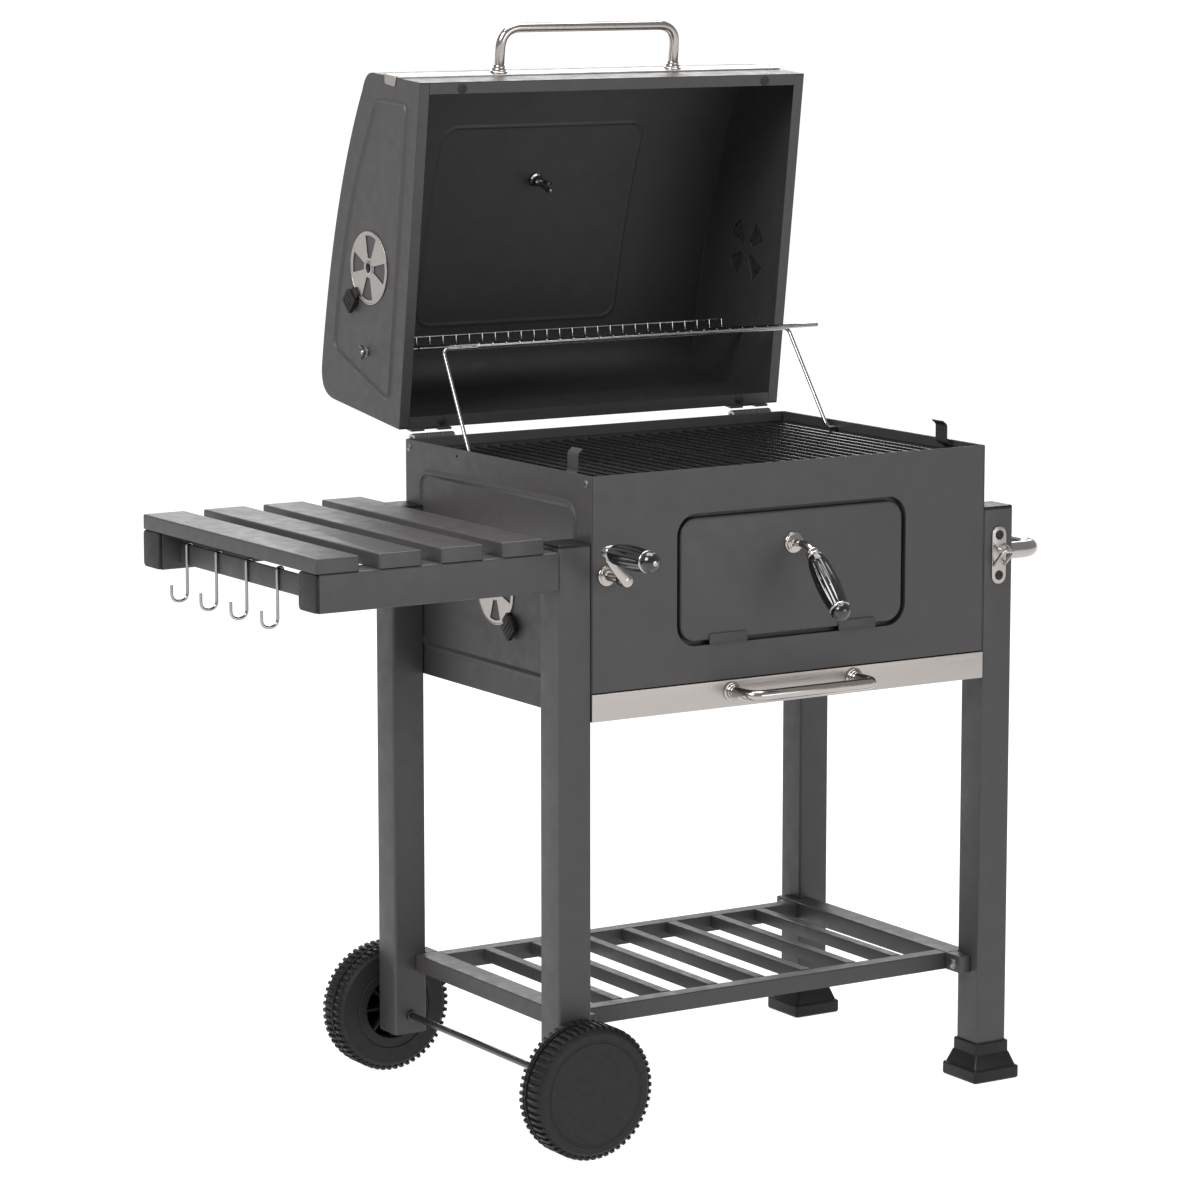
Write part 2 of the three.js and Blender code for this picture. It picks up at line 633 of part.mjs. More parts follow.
// A strip screwed to the leg, whose middle stands out as a hoop that lifts a crown cap.
function bottleOpener() {
  const y = FRONT_Y - GAP;
  const middle = (OPENER_TOP + OPENER_BOTTOM) / 2;
  const crest = OPENER_HOOP - OPENER_RIM;
  const side = new THREE.Shape();
  side.moveTo(y, OPENER_TOP);
  side.lineTo(y - OPENER_SHEET, OPENER_TOP);
  side.lineTo(y - OPENER_SHEET, middle + OPENER_HOOP);
  side.lineTo(y - OPENER_REACH, middle + crest);
  side.lineTo(y - OPENER_REACH, middle + crest - OPENER_RIM);
  side.lineTo(y - OPENER_SHEET, middle - OPENER_HOOP);
  side.lineTo(y - OPENER_SHEET, OPENER_BOTTOM);
  side.lineTo(y, OPENER_BOTTOM);
  side.closePath();
  const half = OPENER_WIDTH / 2;
  const body = plate('x', side, LEG_X - half, LEG_X + half);
  const window = box([LEG_X - half + OPENER_RIM, LEG_X + half - OPENER_RIM],
    [y - OPENER_REACH + OPENER_RIM, y - OPENER_SHEET - 1], [middle - OPENER_HOOP, middle + OPENER_HOOP]);
  return cut(body, window);
}

// ---- fire door -----------------------------------------------------------------------------------

function fireDoor() {
  const half = DOOR_WIDTH / 2;
  const [low, high] = [DOOR_BOTTOM, DOOR_BOTTOM + DOOR_HEIGHT];
  const face = roundedRectangle(-half, half, low, high, DOOR_CORNER);
  const room = roundedRectangle(-half + SHEET, half - SHEET, low + SHEET, high - SHEET, DOOR_CORNER - SHEET);
  const tray = cut(plate('y', face, FRONT_Y, FRONT_Y + DOOR_DEPTH, 3),
    plate('y', room, FRONT_Y + SHEET, FRONT_Y + DOOR_DEPTH + 1, 2));
  const tabs = [-1, 1].flatMap((side) => {
    const x = [side * DOOR_HINGE_X - DOOR_HINGE_WIDTH / 2, side * DOOR_HINGE_X + DOOR_HINGE_WIDTH / 2];
    const face = FRONT_Y - DOOR_HINGE_SHEET;
    return [
      box(x, [face, FRONT_Y - GAP * 2], [low - DOOR_HINGE_DROP, low + DOOR_HINGE_LAP]),
      box(x, [face, FRONT_Y + JOIN], [low + SHEET, low + DOOR_HINGE_LAP]),
    ];
  });
  return join(tray, ...tabs);
}

// A turned barrel grip along +Y from the origin, waisted at its neck.
function barrel() {
  const bulge = [0.55, 0.62, 0.85, 1, 0.98, 0.86, 0.66, 0.6];
  const profile = [new THREE.Vector2(0, 0)];
  bulge.forEach((share, i) => {
    profile.push(new THREE.Vector2(share * GRIP_RADIUS, (i / (bulge.length - 1)) * GRIP_LENGTH));
  });
  profile.push(new THREE.Vector2(0, GRIP_LENGTH));
  return new THREE.LatheGeometry(profile, 10);
}

function doorPull() {
  const end = [0, FRONT_Y - PULL_NECK, DOOR_PULL_HEIGHT - PULL_SAG];
  const rosette = rod([0, FRONT_Y - GAP, DOOR_PULL_HEIGHT],
    [0, FRONT_Y - ROSETTE_DEPTH, DOOR_PULL_HEIGHT], ROSETTE_RADIUS, 16);
  const neck = rod([0, FRONT_Y - ROSETTE_DEPTH + 1, DOOR_PULL_HEIGHT], end, CRANK_SHAFT);
  const grip = barrel().rotateX(Math.PI + PULL_TILT).translate(0, end[1] + JOIN * 8, end[2] + JOIN * 8);
  return join(rosette, neck, grip);
}

// ---- ash drawer ----------------------------------------------------------------------------------

function drawerTray() {
  const x = INNER_X - GAP * 2;
  const z = BODY_BOTTOM + SHEET + GAP;
  const [front, rear] = [FRONT_Y + GAP, REAR_Y - SHEET - DRAWER_REAR_ROOM];
  const outside = box([-x, x], [front, rear], [z, z + DRAWER_WALL_HEIGHT]);
  const inside = box([-x + DRAWER_SHEET, x - DRAWER_SHEET], [front + DRAWER_SHEET, rear - DRAWER_SHEET],
    [z + DRAWER_SHEET, z + DRAWER_WALL_HEIGHT + 1]);
  return cut(outside, inside);
}

function drawerFront() {
  const x = SIDE_X;
  return box([-x, x], [FRONT_Y - DRAWER_SHEET, FRONT_Y], [BODY_BOTTOM, BODY_BOTTOM + DRAWER_FRONT_HEIGHT]);
}

function drawerHandle() {
  const [half, y] = [DRAWER_HANDLE_SPAN / 2, FRONT_Y - DRAWER_SHEET];
  const z = BODY_BOTTOM + DRAWER_FRONT_HEIGHT / 2 + DRAWER_HANDLE_LIFT;
  const corners = [[-half, y - GAP, z], [-half, y - DRAWER_HANDLE_REACH, z],
    [half, y - DRAWER_HANDLE_REACH, z], [half, y - GAP, z]];
  return bentTube(corners, DRAWER_HANDLE_BEND, DRAWER_HANDLE_TUBE, 8);
}

// ---- charcoal pan and its lift ---------------------------------------------------------------------

const PAN_LEFT = CRANK_X + CRANK_SHAFT + PAN_LEFT_ROOM;
const PAN_WALL_LEFT = PAN_LEFT + PAN_FLANGE;
const PAN_RIGHT = INNER_X - PAN_RIGHT_ROOM;
const PAN_Y = REAR_Y - PAN_FRONT_ROOM;
const PAN_TOP = CRANK_Z + LIFT_ARM * Math.sin(LIFT_ARM_REST) + LIFT_ARM_RADIUS + LIFT_CLEARANCE;

// A shaft through the firebox, turned at the front, whose two arms carry the pan on their pins.
function crank() {
  const at = (y) => [CRANK_X, y, CRANK_Z];
  const out = FRONT_Y - CRANK_REACH;
  const shaft = rod(at(out - CRANK_ARM_SHEET), at(REAR_Y - SHEET - GAP), CRANK_SHAFT, 10);
  const rosette = rod(at(FRONT_Y - GAP), at(FRONT_Y - ROSETTE_DEPTH), ROSETTE_RADIUS, 12);
  const gripX = CRANK_X + CRANK_ARM * Math.cos(CRANK_ARM_ANGLE);
  const gripZ = CRANK_Z + CRANK_ARM * Math.sin(CRANK_ARM_ANGLE);
  const edge = CRANK_ARM_WIDTH / 2;
  const bar = roundedRectangle(-edge, CRANK_ARM + edge, -edge, edge, edge - JOIN);
  const arm = plate('y', bar, -CRANK_ARM_SHEET, 0, 3);
  arm.rotateY(-CRANK_ARM_ANGLE).translate(CRANK_X, out, CRANK_Z);
  const grip = barrel().rotateX(Math.PI).translate(gripX, out - CRANK_ARM_SHEET + 1, gripZ);
  const radius = LIFT_ARM_RADIUS;
  const blade = roundedRectangle(-radius, LIFT_ARM + radius, -radius, radius, radius - 0.1);
  const lifts = [-1, 1].flatMap((side) => {
    const [near, far] = [PAN_Y + LIFT_ARM_ROOM, PAN_Y + LIFT_ARM_ROOM + LIFT_ARM_SHEET];
    const [from, to] = side < 0 ? [-far, -near] : [near, far];
    const pin = rod([LIFT_ARM, side * (far - 1), 0], [LIFT_ARM, side * (PAN_Y - LIFT_PIN), 0], radius);
    return [plate('y', blade, from, to, 2), pin];
  }).map((piece) => piece.rotateY(-LIFT_ARM_REST).translate(CRANK_X, 0, CRANK_Z));
  return join(shaft, rosette, arm, grip, ...lifts);
}

function charcoalPan() {
  const outside = box([PAN_WALL_LEFT, PAN_RIGHT], [-PAN_Y, PAN_Y], [PAN_TOP - PAN_DEPTH, PAN_TOP + SHEET]);
  const inside = box([PAN_WALL_LEFT + SHEET, PAN_RIGHT - SHEET], [-PAN_Y + SHEET, PAN_Y - SHEET],
    [PAN_TOP - PAN_DEPTH + SHEET, PAN_TOP + SHEET + 1]);
  const flange = box([PAN_LEFT, PAN_WALL_LEFT + JOIN], [-PAN_Y, PAN_Y], [PAN_TOP, PAN_TOP + SHEET]);
  const lug = box([PAN_RIGHT - JOIN, INNER_X - PAN_GUIDE_GAP], [-PAN_Y, PAN_Y], [PAN_TOP, PAN_TOP + SHEET]);
  return join(cut(outside, inside), flange, lug);
}

// A grid of welded bars: many along Y and a few along X beneath them.
function grid(x, y, top, radius, count, crossings) {
  const bottom = top - 4 * radius + GRATE_WELD;
  const bars = [];
  for (let i = 0; i < count; i++) {
    const along = x[0] + radius * 2 + (i / (count - 1)) * (x[1] - x[0] - radius * 4);
    bars.push(box([along - radius, along + radius], y, [top - 2 * radius, top]));
  }
  for (const across of crossings) {
    bars.push(box(x, [across - radius, across + radius], [bottom, bottom + 2 * radius]));
  }
  return join(...bars);
}

function charcoalGrate() {
  const top = PAN_TOP - PAN_DEPTH + SHEET + GAP + 4 * GRATE_ROD - GRATE_WELD;
  const room = SHEET + COAL_GRATE_ROOM;
  const y = PAN_Y - room;
  const cross = y - GRATE_CROSS_INSET;
  return grid([PAN_WALL_LEFT + room, PAN_RIGHT - room], [-y, y], top, GRATE_ROD, COAL_GRATE_RODS,
    [-cross, 0, cross]);
}

function cookingGrate(side) {
  const [inner, outer] = [GRATE_SPLIT / 2, INNER_X - GRATE_SIDE_ROOM];
  const x = side < 0 ? [-outer, -inner] : [inner, outer];
  const y = REAR_Y - GRATE_END_ROOM;
  const cross = y - GRATE_CROSS_INSET;
  return grid(x, [-y, y], GRATE_TOP, GRATE_ROD, GRATE_RODS, [-cross, 0, cross]);
}

// ---- lid -----------------------------------------------------------------------------------------

// The lid is drawn closed, from its hinge axis, and its group is turned open.
const lid = new THREE.Group();
lid.position.set(0, HINGE_Y, HINGE_Z);
lid.rotation.x = -LID_OPEN;
grill.add(lid);

const lidY = (fromRear) => REAR_Y - fromRear - HINGE_Y;
const lidZ = (fromRim) => LID_RIM_Z + fromRim - HINGE_Z;

// The lid's side outline from the rear rim over the top to the front rim, as points in (y, z).
function lidProfile(inset) {
  const [rear, front] = [inset, BODY_DEPTH - inset];
  const top = (height) => height - inset;
  const path = new THREE.Path();
  path.moveTo(rear, 0);
  path.lineTo(rear, top(LID_REAR_HEIGHT) - LID_REAR_CORNER);
  path.quadraticCurveTo(rear, top(LID_REAR_HEIGHT), rear + LID_REAR_CORNER, top(LID_REAR_HEIGHT));
  const middle = (LID_REAR_HEIGHT + LID_FRONT_HEIGHT) / 2 + LID_CROWN;
  path.quadraticCurveTo(BODY_DEPTH * 0.6, top(middle) + LID_CROWN,
    front - LID_FRONT_LEAN - LID_FRONT_CORNER, top(LID_FRONT_HEIGHT));
  path.quadraticCurveTo(front - LID_FRONT_LEAN, top(LID_FRONT_HEIGHT) - 6,
    front - LID_FRONT_LEAN, top(LID_FRONT_HEIGHT) - LID_FRONT_CORNER);
  path.lineTo(front, 0);
  return path.getPoints(6).map((point) => new THREE.Vector2(lidY(point.x), lidZ(point.y)));
}

function lidRackHole(x0, x1) {
  const [y, z] = [lidY(RACK_PIVOT_BACK), lidZ(RACK_PIVOT_UP)];
  return rod([x0, y, z], [x1, y, z], RACK_PIVOT_ROD + RUNNING_GAP);
}

function lidSide(side) {
  const outline = new THREE.Shape(lidProfile(0));
  outline.holes = ventSlots(lidY(LID_VENT_BACK), lidZ(LID_VENT_UP), LID_VENT_RADIUS, VENT_CLOSED);
  const [from, to] = side < 0 ? [-SIDE_X, -INNER_X] : [INNER_X, SIDE_X];
  const panel = plate('x', outline, from, to, 2);
  const inside = side < 0 ? [-INNER_X - JOIN, LID_FLANGE - SIDE_X] : [SIDE_X - LID_FLANGE, INNER_X + JOIN];
  const flange = box(inside,
    [lidY(BODY_DEPTH - SHEET - 2 * GAP), lidY(SHEET + 2 * GAP)], [lidZ(0), lidZ(SHEET)]);
  return cut(join(panel, flange), lidRackHole(from - 1, to + 1));
}

// The sheet bent over the front, top and rear, with the rim folded in at both ends.
function lidWrap() {
  const x = INNER_X - GAP;
  const outline = new THREE.Shape([...lidProfile(0), ...lidProfile(SHEET).reverse()]);
  const sheet = plate('x', outline, -x, x);
  const rimX = SIDE_X - LID_FLANGE - GAP;
  const fold = (s0, s1) => box([-rimX, rimX], [lidY(s1), lidY(s0)], [lidZ(0), lidZ(SHEET)]);
  const dial = dialPlace();
  const stem = rod([0, 0, -10], [0, 0, 10], STEM_RADIUS + GAP).applyMatrix4(dial);
  return cut(join(sheet, fold(JOIN, LID_FLANGE), fold(BODY_DEPTH - LID_FLANGE, BODY_DEPTH - JOIN)), stem);
}

// Where the thermometer's stem passes the lid's top, with local +Z standing out of the sheet.
function dialPlace() {
  const points = lidProfile(0);
  const y = lidY(DIAL_BACK);
  const i = points.findIndex((point) => point.x < y);
  const [a, b] = [points[i - 1], points[i]];
  const z = a.y + ((y - a.x) / (b.x - a.x)) * (b.y - a.y);
  const slope = Math.atan2(b.y - a.y, b.x - a.x) - Math.PI;
  return new THREE.Matrix4().makeRotationX(slope).setPosition(0, y, z);
}

function thermometer() {
  const body = rod([0, 0, GAP], [0, 0, DIAL_DEPTH], DIAL_RADIUS, 24);
  const stem = rod([0, 0, -STEM_LENGTH], [0, 0, 1], STEM_RADIUS);
  const [long, wide, high] = DIAL_NUT;
  const nut = box([-long / 2, long / 2], [-wide / 2, wide / 2], [-SHEET - high, -SHEET - GAP * 2]);
  return join(body, stem, nut).applyMatrix4(dialPlace());
}

// Where the lid's front wall stands at a height above the rim.
const lidFront = (up) => lidY(BODY_DEPTH - (LID_FRONT_LEAN * up) / (LID_FRONT_HEIGHT - LID_FRONT_CORNER));

function lidTrim() {
  const [low, high] = [TRIM_UP, TRIM_UP + TRIM_HEIGHT];
  const outline = new THREE.Shape();
  outline.moveTo(lidFront(low) - GAP, lidZ(low));
  outline.lineTo(lidFront(high) - GAP, lidZ(high));
  outline.lineTo(lidFront(high) - GAP - TRIM_SHEET, lidZ(high));
  outline.lineTo(lidFront(low) - GAP - TRIM_SHEET, lidZ(low));
  outline.closePath();
  return plate('x', outline, -SIDE_X, SIDE_X);
}

function lidHandle() {
  const half = LID_HANDLE_SPAN / 2;
  const near = lidFront(LID_HANDLE_UP) - GAP * 2 - TRIM_SHEET - JOIN;
  const [far, z] = [near - LID_HANDLE_REACH, lidZ(LID_HANDLE_UP)];
  const corners = [[-half, near, z], [-half, far, z], [half, far, z], [half, near, z]];
  return bentTube(corners, LID_HANDLE_BEND, LID_HANDLE_TUBE, 10);
}

// ---- lid hinges ----------------------------------------------------------------------------------

const KNUCKLE = HINGE_WIDTH / 3;

function knuckle(x0, x1) {
  return rod([x0, 0, 0], [x1, 0, 0], HINGE_RADIUS, 12);
}

// The leaf on the firebox carries the middle knuckle and the pin, round the hinge axis.
function fixedLeaf(side) {
  const x = side * HINGE_X;
  const wall = -HINGE_BACK + GAP;
  const edge = KNUCKLE / 2 - GAP;
  const leaf = box([x - HINGE_WIDTH / 2, x + HINGE_WIDTH / 2], [wall, wall + HINGE_LEAF],
    [-HINGE_LEAF_HEIGHT - HINGE_RADIUS, -HINGE_RADIUS - 1]);
  const web = box([x - edge, x + edge], [wall, 0], [-HINGE_RADIUS - 4, -3]);
  const pin = rod([x - HINGE_WIDTH / 2, 0, 0], [x + HINGE_WIDTH / 2, 0, 0], HINGE_PIN, 8);
  return join(leaf, web, knuckle(x - edge, x + edge), pin).translate(0, HINGE_Y, HINGE_Z);
}

// The leaf on the lid has the two outer knuckles, bored for the pin.
function turningLeaf(side) {
  const x = side * HINGE_X;
  const wall = -HINGE_BACK + GAP;
  const [low, high] = [lidZ(4), lidZ(4 + HINGE_LEAF_HEIGHT)];
  const leaf = box([x - HINGE_WIDTH / 2, x + HINGE_WIDTH / 2], [wall, wall + HINGE_LEAF], [low, high]);
  const ends = [-1, 1].flatMap((end) => {
    const [a, b] = [x + end * (KNUCKLE / 2 + GAP), x + end * HINGE_WIDTH / 2].sort((p, q) => p - q);
    return [knuckle(a, b), box([a, b], [wall, HINGE_RADIUS - 5], [0, low + 6])];
  });
  const bore = rod([x - HINGE_WIDTH, 0, 0], [x + HINGE_WIDTH, 0, 0], HINGE_PIN + GAP, 8);
  return cut(join(leaf, ...ends), bore);
}

// ---- warming rack --------------------------------------------------------------------------------

// The rack hangs on a rod through the lid's sides and rests on a wire bail hinged in the firebox.
function rackPivot() {
  const turn = new THREE.Matrix4().makeRotationX(-LID_OPEN).setPosition(0, HINGE_Y, HINGE_Z);
  return new THREE.Vector3(0, lidY(RACK_PIVOT_BACK), lidZ(RACK_PIVOT_UP)).applyMatrix4(turn);
}

function warmingRack() {
  const pivotHalf = SIDE_X + RACK_STUD;
  const deck = RACK_PIVOT_ROD;
  const w = SIDE_X - RACK_SIDE_ROOM;
  const across = (y, z) => box([-w, w], [y - RACK_WIRE, y + RACK_WIRE], [z - RACK_WIRE, z + RACK_WIRE]);
  const bars = [
    rod([-pivotHalf, 0, 0], [pivotHalf, 0, 0], RACK_PIVOT_ROD, 6),
    across(-RACK_DEPTH, deck - RACK_WIRE),
    across(-RACK_DEPTH / 3, deck - RACK_WIRE),
    across(RACK_WIRE, RACK_RISER),
  ];
  // each cross wire lies on the rods and is bent up at the rear
  const half = RACK_WIRE / 2;
  const bent = new THREE.Shape();
  bent.moveTo(-RACK_DEPTH, deck - half);
  bent.lineTo(RACK_WIRE, deck - half);
  bent.lineTo(RACK_WIRE, RACK_RISER);
  bent.lineTo(0, RACK_RISER);
  bent.lineTo(0, deck + half);
  bent.lineTo(-RACK_DEPTH, deck + half);
  bent.closePath();
  for (let i = 0; i < RACK_WIRES; i++) {
    const x = -w + half + (i / (RACK_WIRES - 1)) * (2 * w - 2 * half);
    bars.push(plate('x', bent, x - half, x + half));
  }
  return join(...bars).rotateX(-RACK_TILT);
}

function bail() {
  const [outer, ear, top] = [SIDE_X, SIDE_X - BAIL_FOOT_ROOM, SIDE_X - BAIL_SIDE_ROOM];
  const under = RACK_PIVOT_ROD - RACK_WIRE / 2 - BAIL_WIRE - GAP;
  const crossbar = new THREE.Vector3(0, -BAIL_REACH, under)
    .applyAxisAngle(new THREE.Vector3(1, 0, 0), -RACK_TILT).add(rackPivot());
  const run = [crossbar.y - BAIL_FOOT_Y, crossbar.z - BAIL_FOOT_Z];
  const corners = [[-outer, 0, 0], [-ear, 0, 0], [-top, ...run], [top, ...run], [ear, 0, 0], [outer, 0, 0]];
  return bentTube(corners, BAIL_BEND, BAIL_WIRE, 8, 2);
}

// ---- assembly ------------------------------------------------------------------------------------

place('firebox_left', fireboxSide(-1), enamel());
place('firebox_right', fireboxSide(1), enamel());
place('firebox_front', fireboxFront(), enamel());
place('firebox_rear', fireboxRear(), enamel());
addVent('firebox_vent_left', -1, 0, VENT_HEIGHT, VENT_RADIUS, VENT_TAB_ANGLE);
addVent('firebox_vent_right', 1, 0, VENT_HEIGHT, VENT_RADIUS, VENT_TAB_ANGLE);

place('leg_front_left', leg(-1, -1, WHEEL_LEG_BOTTOM), enamel());
place('leg_rear_left', leg(-1, 1, WHEEL_LEG_BOTTOM), enamel());
place('leg_front_right', leg(1, -1, FOOT_LEG_BOTTOM), enamel());
place('leg_rear_right', leg(1, 1, FOOT_LEG_BOTTOM), enamel());
place('foot_front', foot(-1), plastic());
place('foot_rear', foot(1), plastic());
addWheel('wheel_front', -1);
addWheel('wheel_rear', 1);
place('wheel_axle', axle(), darkEnamel());

place('shelf_frame', shelfFrame(), enamel());
addSlats();

place('table_beam_front', tableBeam(-1), enamel());
place('table_beam_rear', tableBeam(1), enamel());
addBoards();
place('table_hook_rail', hookRail(), enamel());
addHooks();

place('push_handle', pushHandle(), stainless());
place('bottle_opener', bottleOpener(), stainless());

place('fire_door', fireDoor(), enamel());
place('fire_door_pull', doorPull(), plastic());
place('ash_drawer_tray', drawerTray(), darkEnamel());
place('ash_drawer_front', drawerFront(), stainless());
place('ash_drawer_handle', drawerHandle(), stainless());

place('height_crank', crank(), stainless());
place('charcoal_pan', charcoalPan(), darkEnamel());
place('charcoal_grate', charcoalGrate(), darkEnamel());
place('cooking_grate_left', cookingGrate(-1), darkEnamel());
place('cooking_grate_right', cookingGrate(1), darkEnamel());

place('lid_left', lidSide(-1), enamel(), lid);
place('lid_right', lidSide(1), enamel(), lid);
place('lid_wrap', lidWrap(), enamel(), lid);
place('lid_trim', lidTrim(), stainless(), lid);
place('lid_handle', lidHandle(), stainless(), lid);
place('lid_thermometer', thermometer(), stainless(), lid);
addVent('lid_vent_left', -1, lidY(LID_VENT_BACK), lidZ(LID_VENT_UP), LID_VENT_RADIUS,
  LID_VENT_TAB_ANGLE, lid);
addVent('lid_vent_right', 1, lidY(LID_VENT_BACK), lidZ(LID_VENT_UP), LID_VENT_RADIUS,
  LID_VENT_TAB_ANGLE, lid);
for (const [side, word] of [[-1, 'left'], [1, 'right']]) {
  place(`hinge_fixed_${word}`, fixedLeaf(side), stainless());
  place(`hinge_lid_${word}`, turningLeaf(side), stainless(), lid);
}

const rack = place('warming_rack', warmingRack(), chrome());
rack.position.copy(rackPivot());
place('rack_bail', bail(), chrome()).position.set(0, BAIL_FOOT_Y, BAIL_FOOT_Z);

// The origin stands at the middle of the whole cart, on the ground.
grill.updateMatrixWorld(true);
const bounds = new THREE.Box3().setFromObject(grill, true);
const middle = bounds.getCenter(new THREE.Vector3());
grill.position.set(-middle.x, -middle.y, -bounds.min.z);

export default grill;
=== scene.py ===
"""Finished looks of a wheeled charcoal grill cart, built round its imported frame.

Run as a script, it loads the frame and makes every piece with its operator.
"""

import json
import math

import bmesh
import bpy
from bpy.props import FloatProperty, FloatVectorProperty, IntProperty, PointerProperty
from bpy.types import Operator, Panel, PropertyGroup
from mathutils import Matrix, Vector
from mathutils.geometry import delaunay_2d_cdt


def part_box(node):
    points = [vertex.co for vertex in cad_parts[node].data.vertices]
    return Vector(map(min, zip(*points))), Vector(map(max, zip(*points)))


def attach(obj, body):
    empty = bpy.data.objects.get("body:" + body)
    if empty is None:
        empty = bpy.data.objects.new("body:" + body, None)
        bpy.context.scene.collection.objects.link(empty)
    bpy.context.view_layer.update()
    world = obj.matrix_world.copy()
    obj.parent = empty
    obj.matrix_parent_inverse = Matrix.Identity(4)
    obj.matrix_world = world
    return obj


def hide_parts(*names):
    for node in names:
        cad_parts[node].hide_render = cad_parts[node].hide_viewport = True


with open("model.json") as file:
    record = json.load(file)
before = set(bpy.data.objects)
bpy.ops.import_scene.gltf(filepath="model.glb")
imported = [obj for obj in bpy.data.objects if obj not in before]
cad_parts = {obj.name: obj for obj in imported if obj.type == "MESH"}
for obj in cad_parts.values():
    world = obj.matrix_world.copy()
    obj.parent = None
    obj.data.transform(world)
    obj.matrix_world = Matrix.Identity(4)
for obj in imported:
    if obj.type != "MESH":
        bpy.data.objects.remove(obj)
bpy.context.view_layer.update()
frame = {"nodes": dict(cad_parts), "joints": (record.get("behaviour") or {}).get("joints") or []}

bl_info = {
    "name": "Charcoal grill cart",
    "version": (1, 0, 0),
    "blender": (4, 5, 0),
    "location": "View3D > Sidebar > Grill cart",
    "description": "Builds the finished pieces of a wheeled charcoal grill cart",
    "category": "Object",
}

# ---- places taken from the frame ---------------------------------------------------------------

JOINTS = {joint["name"]: joint for joint in frame["joints"]}
BODY_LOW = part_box("firebox_left")[0]
BODY_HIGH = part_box("firebox_right")[1]
LEFT_X, RIGHT_X = BODY_LOW.x, BODY_HIGH.x
FRONT_Y, REAR_Y = BODY_LOW.y, BODY_HIGH.y
BOTTOM_Z, TOP_Z = BODY_LOW.z, BODY_HIGH.z
MID_X = (LEFT_X + RIGHT_X) / 2
MID_Y = (FRONT_Y + REAR_Y) / 2
HALF_WIDTH = (RIGHT_X - LEFT_X) / 2
BODY_DEPTH = REAR_Y - FRONT_Y
LID_HINGE = Vector(JOINTS["lid_hinge"]["pos_m"])
LID_OPEN = math.radians(JOINTS["lid_hinge"]["range_deg"][1])
RACK_PIVOT = Vector(JOINTS["rack_swing"]["pos_m"])
BAIL_FOOT = Vector(JOINTS["bail_swing"]["pos_m"])

SIDES = ((-1, "left"), (1, "right"))
ENDS = ((-1, "front"), (1, "rear"))


# ---- sizes and colours ---------------------------------------------------------------------------


def linear(text):
    """The linear colour of an sRGB hex value."""
    values = [int(text[i:i + 2], 16) / 255 for i in (1, 3, 5)]
    return tuple(v / 12.92 if v <= 0.04045 else ((v + 0.055) / 1.055) ** 2.4 for v in values)


def length(name, description, default):
    return FloatProperty(name=name, description=description, default=default, min=0.0,
                         unit="LENGTH", precision=4)


def colour(name, description, default):
    return FloatVectorProperty(name=name, description=description, default=linear(default),
                               size=3, min=0.0, max=1.0, subtype="COLOR")


class CartSizes(PropertyGroup):
    """Sizes of the finished details."""

    sheet: length("Sheet", "Thickness of the folded steel sheet", 0.0012)
    fold: length("Fold radius", "Outer radius where sheet is folded", 0.0025)
    bead_width: length("Bead width", "Width of the pressed bead on the side panels", 0.007)
    bead_height: length("Bead height", "How far the pressed bead stands out", 0.0026)
    lid_bead_inset: length("Lid bead inset", "From the lid's edge to its pressed bead", 0.031)
    gap: length("Gap", "Air left between pieces that touch", 0.0003)
    leg_radius: length("Leg corner", "Corner radius of the square leg tube", 0.0035)
    cap_rise: length("Cap rise", "How far a plastic cap stands out of its tube", 0.004)
    bolt_head: length("Bolt head", "Radius of a pan bolt head", 0.0065)
    grip_radius: length("Grip radius", "Largest radius of the turned grips", 0.015)
    grip_length: length("Grip length", "Length of the turned grips", 0.104)
    lid_handle_tube: length("Lid handle tube", "Radius of the lid handle", 0.0065)
    drawer_handle_tube: length("Drawer handle tube", "Radius of the ash drawer handle", 0.007)
    push_handle_tube: length("Push handle tube", "Radius of the push handle", 0.011)
    grate_rod: length("Grate rod", "Radius of the cooking grate rods", 0.0025)
    rack_rod: length("Rack rod", "Radius of the warming rack's long rods", 0.0018)
    rack_wire: length("Rack wire", "Radius of the warming rack's cross wires", 0.001)
    tread_depth: length("Tread depth", "Height of the lugs on the wheels", 0.0035)


class CartCounts(PropertyGroup):
    """How many there are of what repeats."""

    grate_rods: IntProperty(name="Grate rods", description="Rods in each cooking grate",
                            default=15, min=2)
    coal_rods: IntProperty(name="Charcoal grate rods", description="Rods in the charcoal grate",
                           default=14, min=2)
    rack_wires: IntProperty(name="Rack wires", description="Cross wires of the warming rack",
                            default=27, min=2)
    tread_lugs: IntProperty(name="Tread lugs", description="Lugs round a wheel in each row",
                            default=56, min=3)
    flutes: IntProperty(name="Grip flutes", description="Flutes round a turned grip",
                        default=12, min=3)


class CartColours(PropertyGroup):
    """Colours of the finishes."""

    paint: colour("Grey paint", "Anthracite paint of the outside", "#363435")
    inner: colour("Inner paint", "Black paint inside the lid and the firebox", "#313030")
    stainless: colour("Stainless steel", "Brushed and polished stainless steel", "#aaa5a1")
    chrome: colour("Chrome", "Chrome plating on wires and necks", "#9c9c9f")
    zinc: colour("Zinc", "Zinc-plated bolts and hinges", "#8c8c8a")
    plastic: colour("Plastic", "Moulded black plastic of caps and feet", "#171718")
    wheel: colour("Wheel plastic", "Moulded plastic of the wheels", "#161617")
    grip: colour("Grip", "Glossy black phenolic of the grips", "#060607")
    enamel: colour("Grate enamel", "Black glassy enamel of the grates", "#19191a")
    floor: colour("Floor", "The studio floor", "#898989")


